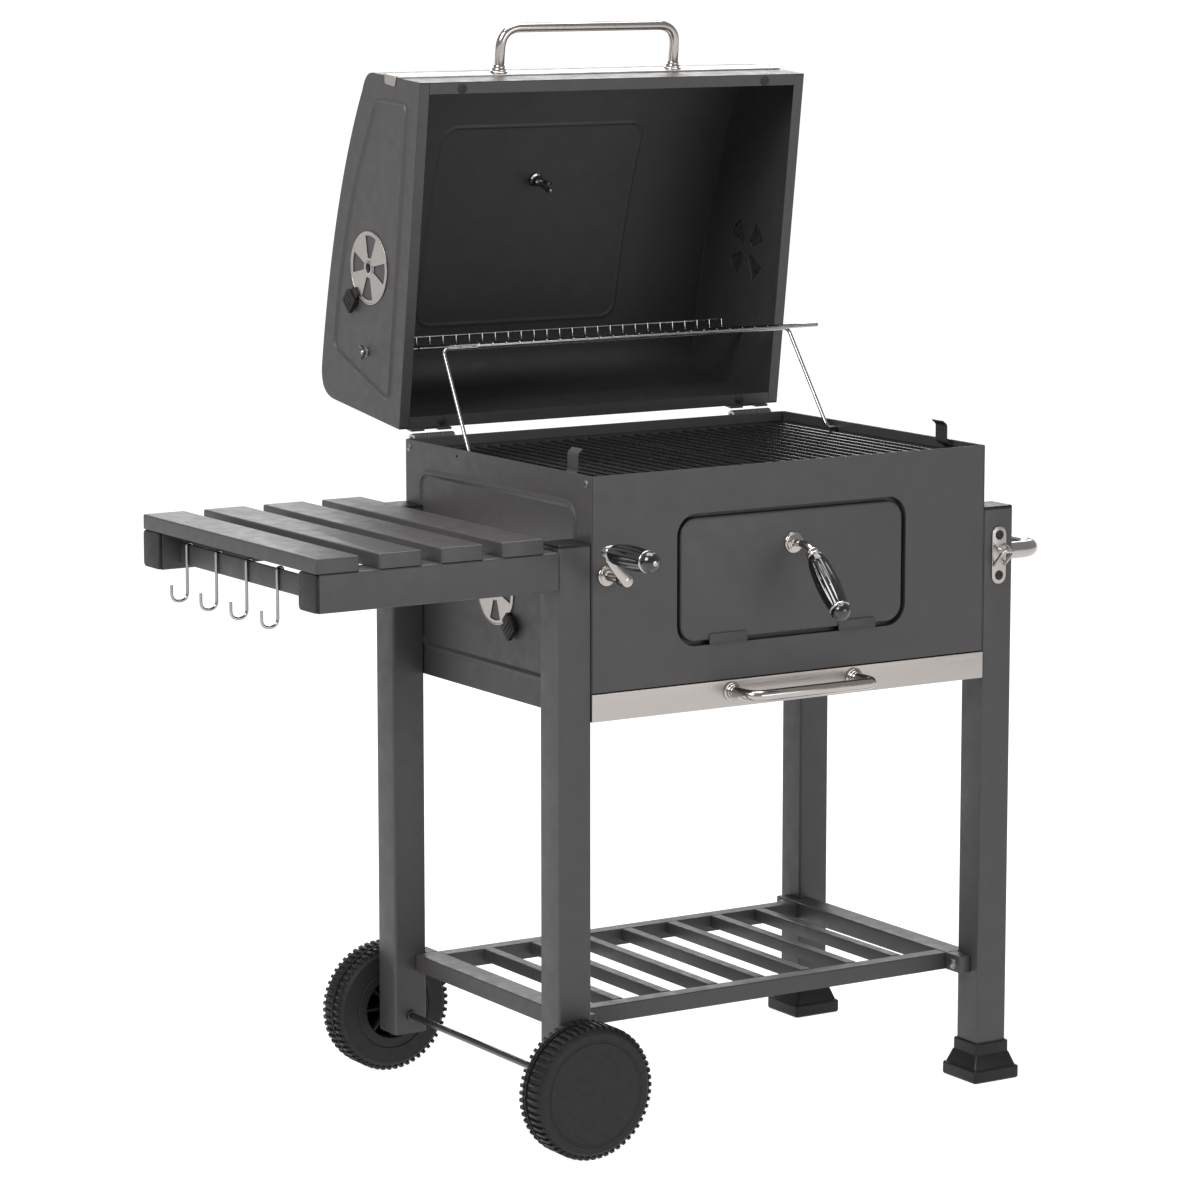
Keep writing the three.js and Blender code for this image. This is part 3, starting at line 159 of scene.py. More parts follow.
class CartStage(PropertyGroup):
    """The camera and the light."""

    camera_place: FloatVectorProperty(
        name="Camera place", description="Where the camera stands", size=3,
        default=(-2.91925, -4.65376, 1.50864), unit="LENGTH", precision=4)
    camera_pitch: FloatProperty(name="Camera pitch", description="Angle below the horizontal",
                                default=math.radians(9.039), unit="ROTATION")
    camera_heading: FloatProperty(name="Camera heading", description="Angle to the right",
                                  default=math.radians(32.196), unit="ROTATION")
    focal_length: FloatProperty(name="Focal length", description="Lens, in millimetres",
                                default=130.82, min=1.0)
    sky: FloatProperty(name="Sky", description="Strength of the even light", default=0.42, min=0.0)
    key: FloatProperty(name="Key light", description="Power of the main soft light, in watts",
                       default=185.0, min=0.0)
    fill: FloatProperty(name="Fill light", description="Power of the low front light, in watts",
                        default=30.0, min=0.0)
    back: FloatProperty(name="Back light", description="Power of the light behind, in watts",
                        default=60.0, min=0.0)
    rim: FloatProperty(name="Top light", description="Power of the light over the cart, in watts",
                       default=95.0, min=0.0)


def sizes():
    return bpy.context.scene.cart_sizes


def counts():
    return bpy.context.scene.cart_counts


def colours():
    return bpy.context.scene.cart_colours


# ---- finishes ------------------------------------------------------------------------------------


def add_node(tree, kind, inputs=None, **settings):
    """Adds a node with its settings, and a value or a link for each input that is given."""
    node = tree.nodes.new(kind)
    for key, value in settings.items():
        setattr(node, key, value)
    for key, value in (inputs or {}).items():
        if isinstance(value, bpy.types.NodeSocket):
            tree.links.new(value, node.inputs[key])
        else:
            node.inputs[key].default_value = value
    return node


def finish(build):
    """The material that build makes, made once and then shared."""
    return bpy.data.materials.get(build.__name__) or build(build.__name__)


def new_finish(name, **sockets):
    """A new material with its shader's constant sockets set."""
    made = bpy.data.materials.new(name)
    made.use_nodes = True
    shader = made.node_tree.nodes["Principled BSDF"]
    for key, value in sockets.items():
        shader.inputs[key.replace("_", " ")].default_value = value
    return made, made.node_tree, shader


def per_mm(spacing):
    """Noise scale, in object coordinates in metres, whose grain is that many millimetres."""
    return 1000.0 / spacing


def grain(tree, spacing, stretch=(1.0, 1.0, 1.0), detail=3.0):
    """Noise with that grain in millimetres, drawn out along the axes where stretch is small."""
    place = add_node(tree, "ShaderNodeTexCoord")
    laid = add_node(tree, "ShaderNodeMapping", {"Vector": place.outputs["Object"], "Scale": stretch})
    noise = add_node(tree, "ShaderNodeTexNoise", {
        "Vector": laid.outputs["Vector"], "Scale": per_mm(spacing), "Detail": detail})
    return noise.outputs["Fac"]


def tone(tree, shader, base, spread, factor):
    """Varies the base colour by spread to either side, following factor."""
    low, high = [(*(min(1.0, c * k) for c in base), 1.0) for k in (1 - spread, 1 + spread)]
    mix = add_node(tree, "ShaderNodeMix", {0: factor, 6: low, 7: high}, data_type="RGBA")
    tree.links.new(mix.outputs[2], shader.inputs["Base Color"])


def shine(tree, shader, low, high, factor):
    """Varies the roughness from low to high, following factor."""
    span = add_node(tree, "ShaderNodeMapRange", {
        "Value": factor, "From Min": 0.3, "From Max": 0.7, "To Min": low, "To Max": high})
    tree.links.new(span.outputs["Result"], shader.inputs["Roughness"])


def relief(tree, shader, height, depth, strength=1.0):
    """Bumps the surface by depth, in metres, following height."""
    bump = add_node(tree, "ShaderNodeBump", {
        "Height": height, "Distance": depth, "Strength": strength})
    tree.links.new(bump.outputs["Normal"], shader.inputs["Normal"])


def powder_coated_steel(name):
    """Steel sheet, powder-coated and baked: an even satin with a fine orange-peel grain."""
    made, tree, shader = new_finish(name, IOR=1.5)
    tone(tree, shader, colours().paint, 0.06, grain(tree, 45))
    shine(tree, shader, 0.40, 0.52, grain(tree, 18))
    relief(tree, shader, grain(tree, 1.6), 0.00005)  # real peel is 0.5 mm, too fine to show
    return made


def heat_resistant_black(name):
    """Steel sheet sprayed with stoving paint: dark, nearly matt, with a dusty bloom."""
    made, tree, shader = new_finish(name, IOR=1.5)
    tone(tree, shader, colours().inner, 0.12, grain(tree, 70, detail=5.0))
    shine(tree, shader, 0.48, 0.62, grain(tree, 25))
    relief(tree, shader, grain(tree, 1.4), 0.00005)
    return made


def brushed_stainless(name):
    """Rolled stainless sheet, brushed along its length: streaks that spread the highlights."""
    made, tree, shader = new_finish(name, Metallic=1.0, Anisotropic=0.5)
    streaks = grain(tree, 1.2, (0.02, 1.0, 1.0))  # real brushing is 0.2 mm, too fine to show
    tone(tree, shader, colours().stainless, 0.07, streaks)
    shine(tree, shader, 0.26, 0.42, streaks)
    relief(tree, shader, streaks, 0.00003)
    return made


def stamped_stainless(name):
    """Stainless sheet cut in a press: a plain rolled face with faint clouding."""
    made, tree, shader = new_finish(name, Metallic=1.0)
    tone(tree, shader, colours().stainless, 0.05, grain(tree, 12))
    shine(tree, shader, 0.24, 0.36, grain(tree, 6))
    relief(tree, shader, grain(tree, 1.2), 0.00002)
    return made


def polished_stainless(name):
    """Stainless tube, buffed after bending: a near mirror with faint buffing cloud."""
    made, tree, shader = new_finish(name, Metallic=1.0)
    tone(tree, shader, colours().stainless, 0.04, grain(tree, 20))
    shine(tree, shader, 0.10, 0.18, grain(tree, 8))
    return made


def chrome_plated_wire(name):
    """Drawn steel wire, chrome-plated: bright and hard, with a slight ripple from drawing."""
    made, tree, shader = new_finish(name, Metallic=1.0)
    tone(tree, shader, colours().chrome, 0.05, grain(tree, 10))
    shine(tree, shader, 0.06, 0.14, grain(tree, 5))
    relief(tree, shader, grain(tree, 2.0), 0.00003)
    return made


def zinc_plated_steel(name):
    """Pressed steel, zinc-plated in a barrel: a greyish shine with small dull patches."""
    made, tree, shader = new_finish(name, Metallic=1.0)
    tone(tree, shader, colours().zinc, 0.10, grain(tree, 4))
    shine(tree, shader, 0.26, 0.44, grain(tree, 3))
    return made


def moulded_plastic(name):
    """Injection-moulded polypropylene with an eroded mould face: black with a fine grain."""
    made, tree, shader = new_finish(name, IOR=1.49, Specular_IOR_Level=0.25)
    tone(tree, shader, colours().plastic, 0.10, grain(tree, 15))
    shine(tree, shader, 0.36, 0.50, grain(tree, 6))
    relief(tree, shader, grain(tree, 1.2), 0.00006)  # the mould's 0.3 mm grain, drawn coarser
    return made


def blown_polyethylene(name):
    """Blow-moulded polyethylene: softer and duller than the caps, scuffed on the tread."""
    made, tree, shader = new_finish(name, IOR=1.5, Specular_IOR_Level=0.3)
    tone(tree, shader, colours().wheel, 0.14, grain(tree, 22))
    shine(tree, shader, 0.42, 0.60, grain(tree, 9))
    relief(tree, shader, grain(tree, 1.8), 0.00009)
    return made


def turned_phenolic(name):
    """Phenolic resin, moulded and polished: deep black under a hard gloss."""
    made, tree, shader = new_finish(name, IOR=1.6, Coat_Weight=0.4, Coat_Roughness=0.05)
    tone(tree, shader, colours().grip, 0.2, grain(tree, 12))
    shine(tree, shader, 0.10, 0.20, grain(tree, 7))
    return made


def glassy_enamel(name):
    """Steel rod dipped in vitreous enamel: black and glossy, with a slightly wavy skin."""
    made, tree, shader = new_finish(name, IOR=1.52, Coat_Weight=0.3, Coat_Roughness=0.1)
    tone(tree, shader, colours().enamel, 0.2, grain(tree, 8.0, detail=6.0))
    shine(tree, shader, 0.20, 0.32, grain(tree, 14))
    relief(tree, shader, grain(tree, 9.0), 0.00004)
    return made


def moulded_rubber(name):
    """Nitrile rubber, moulded: dull black with a soft bloom."""
    made, tree, shader = new_finish(name, IOR=1.52)
    tone(tree, shader, linear("#131313"), 0.15, grain(tree, 6))
    shine(tree, shader, 0.6, 0.78, grain(tree, 4))
    return made


def dial_card(name):
    """Aluminium dial, painted white and baked: clean and slightly warm."""
    made, tree, shader = new_finish(name, IOR=1.5)
    tone(tree, shader, linear("#e9e7e1"), 0.02, grain(tree, 9))
    shine(tree, shader, 0.30, 0.40, grain(tree, 5))
    return made


def dial_ink(name):
    """Screen-printed ink: flat black, slightly raised."""
    made, tree, shader = new_finish(name, IOR=1.5)
    tone(tree, shader, linear("#101010"), 0.1, grain(tree, 3))
    shine(tree, shader, 0.45, 0.55, grain(tree, 3))
    return made


def pointer_lacquer(name):
    """Thin steel pointer, dipped in red lacquer: bright and glossy."""
    made, tree, shader = new_finish(name, IOR=1.5)
    tone(tree, shader, linear("#a5221b"), 0.06, grain(tree, 3))
    shine(tree, shader, 0.2, 0.3, grain(tree, 3))
    return made


def studio_paper(name):
    """Seamless paper, lit a little from behind: pale, quite matt, with hardly any tooth."""
    made, tree, shader = new_finish(name, IOR=1.4, Specular_IOR_Level=0.1,
                                    Emission_Color=(1.0, 1.0, 1.0, 1.0), Emission_Strength=0.95)
    tone(tree, shader, colours().floor, 0.004, grain(tree, 400))
    shine(tree, shader, 0.85, 0.95, grain(tree, 60))
    return made


# ---- drawing shapes ------------------------------------------------------------------------------


def rounded(u0, u1, v0, v1, radius, steps=5):
    """A rectangle with rounded corners, with the same number of points for any size."""
    radius = max(radius, 1e-5)
    corners = ((u1 - radius, v0 + radius), (u1 - radius, v1 - radius),
               (u0 + radius, v1 - radius), (u0 + radius, v0 + radius))
    points = []
    for quarter, (u, v) in enumerate(corners):
        for i in range(steps + 1):
            angle = math.pi / 2 * (quarter - 1 + i / steps)
            points.append(Vector((u + radius * math.cos(angle), v + radius * math.sin(angle))))
    return points


def shrinking(u0, u1, v0, v1, radius, steps=5):
    """The outline of a rounded rectangle as a function of its inset."""
    def outline(inset):
        return rounded(u0 + inset, u1 - inset, v0 + inset, v1 - inset, radius - inset, steps)
    return outline


def circle(u, v, radius, steps=24):
    turns = [2 * math.pi * i / steps for i in range(steps)]
    return [Vector((u + radius * math.cos(a), v + radius * math.sin(a))) for a in turns]


def wedges(u, v, inner, outer, turn=0.0, count=4, spread=math.radians(38), steps=6):
    """The wedge-shaped openings of an air vent round a centre."""
    found = []
    for i in range(count):
        middle = turn + 2 * math.pi * i / count
        turns = [middle + spread * (k / steps - 0.5) for k in range(steps + 1)]
        ring = [(outer, a) for a in turns] + [(inner, a) for a in reversed(turns)]
        found.append([Vector((u + r * math.cos(a), v + r * math.sin(a))) for r, a in ring])
    return found


def fillet(points, radius, steps=5):
    """A closed outline with its corners rounded as far as its edges allow."""
    made = []
    for i, point in enumerate(points):
        before, after = points[i - 1] - point, points[(i + 1) % len(points)] - point
        reach = min(radius, 0.48 * before.length, 0.48 * after.length)
        start, end = point + before.normalized() * reach, point + after.normalized() * reach
        for k in range(steps + 1):
            t = k / steps
            made.append(start * (1 - t) ** 2 + point * 2 * t * (1 - t) + end * t * t)
    return made


def bent(corners, bend, steps=8):
    """A path whose corners are bent instead of sharp."""
    points = [Vector(corner) for corner in corners]
    path = [points[0]]
    for before, corner, after in zip(points, points[1:], points[2:]):
        start = corner + (before - corner).normalized() * bend
        end = corner + (after - corner).normalized() * bend
        for k in range(steps + 1):
            t = k / steps
            path.append(start * (1 - t) ** 2 + corner * 2 * t * (1 - t) + end * t * t)
    return path + [points[-1]]


def on_x(x, side=1):
    """Where a drawing in (y, z) lies on a wall across X, with w out of the wall."""
    return lambda u, v, w=0.0: Vector((x + side * w, u, v))


def on_y(y, side=-1):
    """Where a drawing in (x, z) lies on a wall across Y, with w out of the wall."""
    return lambda u, v, w=0.0: Vector((u, y + side * w, v))


def on_z(z, side=1):
    """Where a drawing in (x, y) lies on a level, with w up or down from it."""
    return lambda u, v, w=0.0: Vector((u, v, z + side * w))


def along(start, direction, roll=0.0):
    """Where a turned part lies that stands along a direction from a point."""
    turn = Vector(direction).to_track_quat("Z", "Y").to_matrix().to_4x4()
    matrix = Matrix.Translation(start) @ turn @ Matrix.Rotation(roll, 4, "Z")
    return lambda u, v, w=0.0: matrix @ Vector((u, v, w))


# ---- making meshes -------------------------------------------------------------------------------


def add_loops(bm, loops, material=0, closed=False):
    """Skins loops of points in their order. A loop of one point is a tip, and open ends are capped."""
    rows = [[bm.verts.new(point) for point in loop] for loop in loops]
    pairs = list(zip(rows, rows[1:]))
    if closed:
        pairs.append((rows[-1], rows[0]))
    faces = []
    for a, b in pairs:
        for i in range(max(len(a), len(b))):
            ring = [a[i % len(a)], a[(i + 1) % len(a)], b[(i + 1) % len(b)], b[i % len(b)]]
            faces.append(bm.faces.new(list(dict.fromkeys(ring))))
    if not closed:
        faces += [bm.faces.new(row) for row in (rows[0], rows[-1]) if len(row) > 2]
    for face in faces:
        face.material_index = material
    return faces


def add_box(bm, x, y, z, material=0):
    """A block between two places on each axis."""
    ring = [(x[0], y[0]), (x[1], y[0]), (x[1], y[1]), (x[0], y[1])]
    return add_loops(bm, [[Vector((u, v, w)) for u, v in ring] for w in z], material)


def encloses(ring, spot):
    """Whether a spot lies inside a closed outline: a line from it crosses the outline oddly."""
    crossings = 0
    for a, b in zip(ring, [*ring[1:], ring[0]]):
        if (a[1] > spot.y) != (b[1] > spot.y):
            reach = a[0] + (spot.y - a[1]) / (b[1] - a[1]) * (b[0] - a[0])
            crossings += reach > spot.x
    return crossings % 2 == 1


def filled(rings):
    """Triangles that fill the first ring and leave the others open."""
    points, edges = [], []
    for ring in rings:
        first = len(points)
        points += [Vector((p[0], p[1])) for p in ring]
        edges += [(first + i, first + (i + 1) % len(ring)) for i in range(len(ring))]
    spots, _, faces, sources = delaunay_2d_cdt(points, edges, [], 1, 1e-7)[:4]
    kept = []
    for face in faces:
        centre = sum((spots[i] for i in face), Vector((0.0, 0.0))) / len(face)
        if sum(encloses(ring, centre) for ring in rings) % 2:
            kept.append([sources[i][0] for i in face])
    return kept


def add_plate(bm, outline, place, low, high, holes=(), material=0):
    """A flat plate of that outline with holes, from w = low to w = high."""
    rings = [outline, *holes]
    layers = [[[bm.verts.new(place(p[0], p[1], w)) for p in ring] for ring in rings]
              for w in (low, high)]
    faces = []
    if holes:
        flat = filled(rings)
        for layer in layers:
            points = [point for ring in layer for point in ring]
            faces += [bm.faces.new([points[i] for i in corner]) for corner in flat]
    else:
        faces += [bm.faces.new(layer[0]) for layer in layers]
    for under, over in zip(*layers):
        count = len(under)
        faces += [bm.faces.new((under[i], under[(i + 1) % count], over[(i + 1) % count], over[i]))
                  for i in range(count)]
    for face in faces:
        face.material_index = material
    return faces


def add_pan(bm, outline, place, depth, wall, radius, material=0, steps=4):
    """A pressed pan, closed at w = 0 and open at w = -depth, with its edge rounded over."""
    loops = [(wall, -wall), (wall, -depth), (0.0, -depth)]
    for i in range(steps + 1):
        angle = math.pi / 2 * i / steps
        loops.append((radius * (1 - math.cos(angle)), -radius * (1 - math.sin(angle))))
    return add_loops(bm, [[place(*point, w) for point in outline(inset)] for inset, w in loops],
                     material)


def add_block(bm, outline, place, low, high, radius, material=0, steps=3):
    """A solid block of that outline whose far edge is rounded."""
    loops = [(0.0, low)]
    for i in range(steps + 1):
        angle = math.pi / 2 * i / steps
        loops.append((radius * (1 - math.cos(angle)), high - radius * (1 - math.sin(angle))))
    return add_loops(bm, [[place(*point, w) for point in outline(inset)] for inset, w in loops],
                     material)


def add_ring(bm, outer, inner, place, low, high, material=0):
    """A tube of any section: two outlines with as many points each, from w = low to high."""
    runs = ((outer, low), (outer, high), (inner, high), (inner, low))
    return add_loops(bm, [[place(*point, w) for point in ring] for ring, w in runs], material,
                     closed=True)


def add_bead(bm, path, place, width, height, root, material=0):
    """A pressed bead along a closed path, swelling out of the sheet, rooted inside it."""
    shares = (-1.0, -0.7, -0.4, -0.15, 0.15, 0.4, 0.7, 1.0)
    section = [(share * width / 2, height * (0.5 + 0.5 * math.cos(math.pi * share)))
               for share in shares]
    section += [(width / 2, -root), (-width / 2, -root)]
    loops = []
    for i, point in enumerate(path):
        run = (path[(i + 1) % len(path)] - path[i - 1]).normalized()
        across = Vector((-run.y, run.x))
        loops.append([place(*(point + across * u), w) for u, w in section])
    return add_loops(bm, loops, material, closed=True)


def add_lathe(bm, profile, place, sides=32, material=0, closed=False, wave=None):
    """A turned shape: its profile is (radius, height) points, and wave varies the radius."""
    loops = []
    for radius, height in profile:
        if radius < 1e-6:
            loops.append([place(0.0, 0.0, height)])
            continue
        turns = [2 * math.pi * i / sides for i in range(sides)]
        reach = [radius * (wave(a, height) if wave else 1.0) for a in turns]
        loops.append([place(r * math.cos(a), r * math.sin(a), height) for r, a in zip(reach, turns)])
    return add_loops(bm, loops, material, closed)


def add_tube(bm, path, radius, sides=14, material=0):
    """A round bar along a path, its ends a little rounded."""
    runs = [(b - a).normalized() for a, b in zip(path, path[1:])]
    runs = [runs[0]] + [(a + b).normalized() for a, b in zip(runs, runs[1:])] + [runs[-1]]
    side = runs[0].orthogonal().normalized()
    loops = []
    for i, (point, run) in enumerate(zip(path, runs)):
        side = (side - run * side.dot(run)).normalized()
        other = run.cross(side)
        ring = [side * math.cos(2 * math.pi * k / sides) + other * math.sin(2 * math.pi * k / sides)
                for k in range(sides)]
        loop = [point + spoke * radius for spoke in ring]
        if i in (0, len(path) - 1):
            inward = run if i == 0 else -run
            end = [point + spoke * radius * 0.72 for spoke in ring]
            loop = [point + inward * radius * 0.28 + spoke * radius for spoke in ring]
            loops += [end, loop] if i == 0 else [loop, end]
        else:
            loops.append(loop)
    return add_loops(bm, loops, material)


def add_bolt(bm, place, radius, material=0, painted_slot_shade=True):
    """A pan-head bolt seen from w = 0 outwards. The cross cut in its head is painted shade: a thin
    plate of the second finish standing on the head.
    """
    height = radius * 0.55
    add_lathe(bm, [(radius * 1.25, 0.0), (radius * 1.25, height * 0.16), (radius, height * 0.2),
                   (radius * 0.97, height * 0.6), (radius * 0.75, height * 0.9), (0.0, height)],
              place, 20, material)
    if painted_slot_shade:
        # painted shade: the cross is a dark plate laid on the head in place of a recessed cut
        for turn in (0.0, math.pi / 2):
            half = (radius * 0.5, radius * 0.11)
            u, v = half if turn == 0.0 else half[::-1]
            outline = rounded(-u, u, -v, v, radius * 0.05, 1)
            add_plate(bm, outline, place, height * 0.9, height * 1.04, material=1)


def add_text(bm, text, height, place, depth, material):
    """Raised figures, centred on the drawing's own origin."""
    curve = bpy.data.curves.new("figures", "FONT")
    curve.body, curve.size, curve.extrude = text, height, depth / 2
    curve.align_x, curve.align_y = "CENTER", "CENTER"
    holder = bpy.data.objects.new("figures", curve)
    mesh = bpy.data.meshes.new_from_object(holder)
    start = len(bm.faces)
    mesh.transform(Matrix.Identity(4))
    first = len(bm.verts)
    bm.from_mesh(mesh)
    bm.verts.ensure_lookup_table()
    bm.faces.ensure_lookup_table()
    for vertex in bm.verts[first:]:
        vertex.co = place(*vertex.co)
    for face in bm.faces[start:]:
        face.material_index = material
    bpy.data.objects.remove(holder)
    bpy.data.curves.remove(curve)
    bpy.data.meshes.remove(mesh)


def piece(name, bm, body, finishes, nodes=(), edge=0.0, turn=None, smooth=38.0):
    """A finished piece from its mesh: edges rounded, finishes given, riding on its body."""
    if turn is not None:
        bm.transform(turn)
    bmesh.ops.recalc_face_normals(bm, faces=bm.faces)
    for face in bm.faces:
        face.smooth = True
    mesh = bpy.data.meshes.new(name)
    bm.to_mesh(mesh)
    bm.free()
    for build in finishes:
        mesh.materials.append(finish(build))
    made = bpy.data.objects.new(name, mesh)
    bpy.context.scene.collection.objects.link(made)
    if edge:
        rounding = made.modifiers.new("rounded edges", "BEVEL")
        rounding.width, rounding.segments = edge, 2
        rounding.limit_method, rounding.angle_limit = "ANGLE", math.radians(smooth)
        rounding.use_clamp_overlap, rounding.harden_normals = False, True
    else:
        mesh.set_sharp_from_angle(angle=math.radians(smooth))
    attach(made, body)
    if nodes:
        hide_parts(*nodes)
    return made


# ---- firebox -------------------------------------------------------------------------------------

VENT_WEDGE = 0.013  # inner radius of a vent's openings
VENT_MARGIN = 0.006  # from the openings to the vent's edge
VENT_CLOSED = math.radians(45)  # the wall's openings lie between the disc's
FIREBOX_VENT = 0.044
LID_VENT = 0.048


def firebox_side(side, word):
    """A side wall: its sheet with the vent's openings, hem, drawer runner and pressed bead."""
    s = sizes()
    x = LEFT_X if side < 0 else RIGHT_X
    vent = Vector(JOINTS[f"firebox_vent_{word}_turn"]["pos_m"])
    inward = on_x(x, -side)
    bm = bmesh.new()
    wall = rounded(FRONT_Y, REAR_Y, BOTTOM_Z, TOP_Z, 0.001, 1)
    add_plate(bm, wall, inward, 0, s.sheet,
              wedges(vent.y, vent.z, VENT_WEDGE, FIREBOX_VENT - VENT_MARGIN, VENT_CLOSED))
    hem = rounded(FRONT_Y + 0.004, REAR_Y - 0.004, TOP_Z - 0.013, TOP_Z - 0.0002, 0.0012, 2)
    add_plate(bm, hem, inward, s.sheet * 0.9, s.sheet + 0.0016)
    runner = rounded(FRONT_Y + 0.002, REAR_Y - 0.002, BOTTOM_Z, BOTTOM_Z + s.sheet, 0.0003, 1)
    add_plate(bm, runner, inward, s.sheet * 0.9, 0.014)
    edge = shrinking(FRONT_Y, REAR_Y, BOTTOM_Z, TOP_Z, 0.058, 10)(0.038)
    add_bead(bm, edge, on_x(x, side), s.bead_width * 1.5, s.bead_height, s.sheet * 0.6)
    made = piece(f"firebox_panel_{word}", bm, "cart",
                 [powder_coated_steel, heat_resistant_black], [f"firebox_{word}"], edge=0.0004)
    for face in made.data.polygons:
        if face.normal.x * side < -0.9 and abs(face.center.x - x) < s.sheet * 1.2:
            face.material_index = 1
    return made


def door_opening(inset=0.0):
    """The rounded opening for the fire door, seen from the front."""
    low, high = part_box("fire_door")
    groove, drop = 0.0055, 0.005
    return rounded(low.x - groove + inset, high.x + groove - inset, low.z + drop - groove + inset,
                   high.z + groove - inset, 0.0275 - inset, 8)


class CART_OT_firebox(Operator):
    """Make the firebox's four walls, with their folds, ledges and pressed beads"""

    bl_idname = "cart.firebox"
    bl_label = "Firebox walls"

    def execute(self, context):
        s = sizes()
        for side, word in SIDES:
            firebox_side(side, word)
        x = (LEFT_X + s.sheet + s.gap, RIGHT_X - s.sheet - s.gap)
        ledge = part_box("cooking_grate_left")[0].z - s.gap
        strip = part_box("ash_drawer_front")[1].z + s.sheet
        bm = bmesh.new()
        wall = rounded(x[0], x[1], strip, TOP_Z, 0.001, 1)
        add_plate(bm, wall, on_y(FRONT_Y, 1), 0, s.sheet, [door_opening()])
        add_ring(bm, door_opening(-s.sheet), door_opening(), on_y(FRONT_Y, 1), s.sheet * 0.5, 0.0118)
        add_ring(bm, door_opening(-s.sheet), door_opening(0.009), on_y(FRONT_Y, 1), 0.0116, 0.0128)
        add_box(bm, (x[0] + 0.004, x[1] - 0.004), (FRONT_Y + s.sheet * 0.9, FRONT_Y + 0.0028),
                (TOP_Z - 0.013, TOP_Z - 0.0002))
        add_box(bm, x, (FRONT_Y + s.sheet * 0.9, FRONT_Y + 0.018), (ledge - s.sheet, ledge))
        piece("firebox_panel_front", bm, "cart", [powder_coated_steel],
              ["firebox_front"], edge=0.0004)
        bm = bmesh.new()
        back = rounded(x[0], x[1], BOTTOM_Z, TOP_Z, 0.001, 1)
        add_plate(bm, back, on_y(REAR_Y, -1), 0, s.sheet)
        add_box(bm, (x[0] + 0.004, x[1] - 0.004), (REAR_Y - 0.0028, REAR_Y - s.sheet * 0.9),
                (TOP_Z - 0.013, TOP_Z - 0.0002))
        add_box(bm, x, (REAR_Y - 0.018, REAR_Y - s.sheet * 0.9), (ledge - s.sheet, ledge))
        bead = shrinking(x[0], x[1], BOTTOM_Z, TOP_Z, 0.058, 10)(0.038)
        add_bead(bm, bead, on_y(REAR_Y, 1), s.bead_width * 1.5, s.bead_height, s.sheet * 0.6)
        piece("firebox_panel_rear", bm, "cart", [powder_coated_steel],
              ["firebox_rear"], edge=0.0004)
        self.guides()
        return {"FINISHED"}

    def guides(self):
        """Bent tabs on the side walls that lead the lid on, and the bolts of the side walls."""
        s = sizes()
        near, far = FRONT_Y + 0.058, FRONT_Y + 0.082
        for side, word in SIDES:
            x = LEFT_X if side < 0 else RIGHT_X
            wall = on_x(x, -side)
            bm = bmesh.new()
            path = bent([wall(0, TOP_Z - 0.03, 0.0030), wall(0, TOP_Z - 0.008, 0.0030),
                         wall(0, TOP_Z - 0.002, 0.0172), wall(0, TOP_Z + 0.021, 0.0172),
                         wall(0, TOP_Z + 0.026, 0.0240)], 0.0034)
            strip = [(near, 0.0), (far, 0.0)]
            loops = []
            for i, point in enumerate(path):
                run = path[min(i + 1, len(path) - 1)] - path[max(i - 1, 0)]
                out = Vector((run.z, 0, -run.x)).normalized() * 0.0007
                loops.append([Vector((point.x, y, point.z)) + out * k
                              for y, k in ((near, -1), (far, -1), (far, 1), (near, 1))])
            add_loops(bm, loops)
            piece(f"lid_guide_{word}", bm, "cart", [heat_resistant_black],
                  edge=0.0003)
            bm = bmesh.new()
            for y in (FRONT_Y + 0.012, REAR_Y - 0.009):
                add_bolt(bm, along((x, y, TOP_Z - 0.010), (side, 0, 0)), 0.0042)
            # the black rubber second finish is painted shade in the bolt heads' cross cuts
            piece(f"wall_bolts_{word}", bm, "cart",
                  [zinc_plated_steel, moulded_rubber])


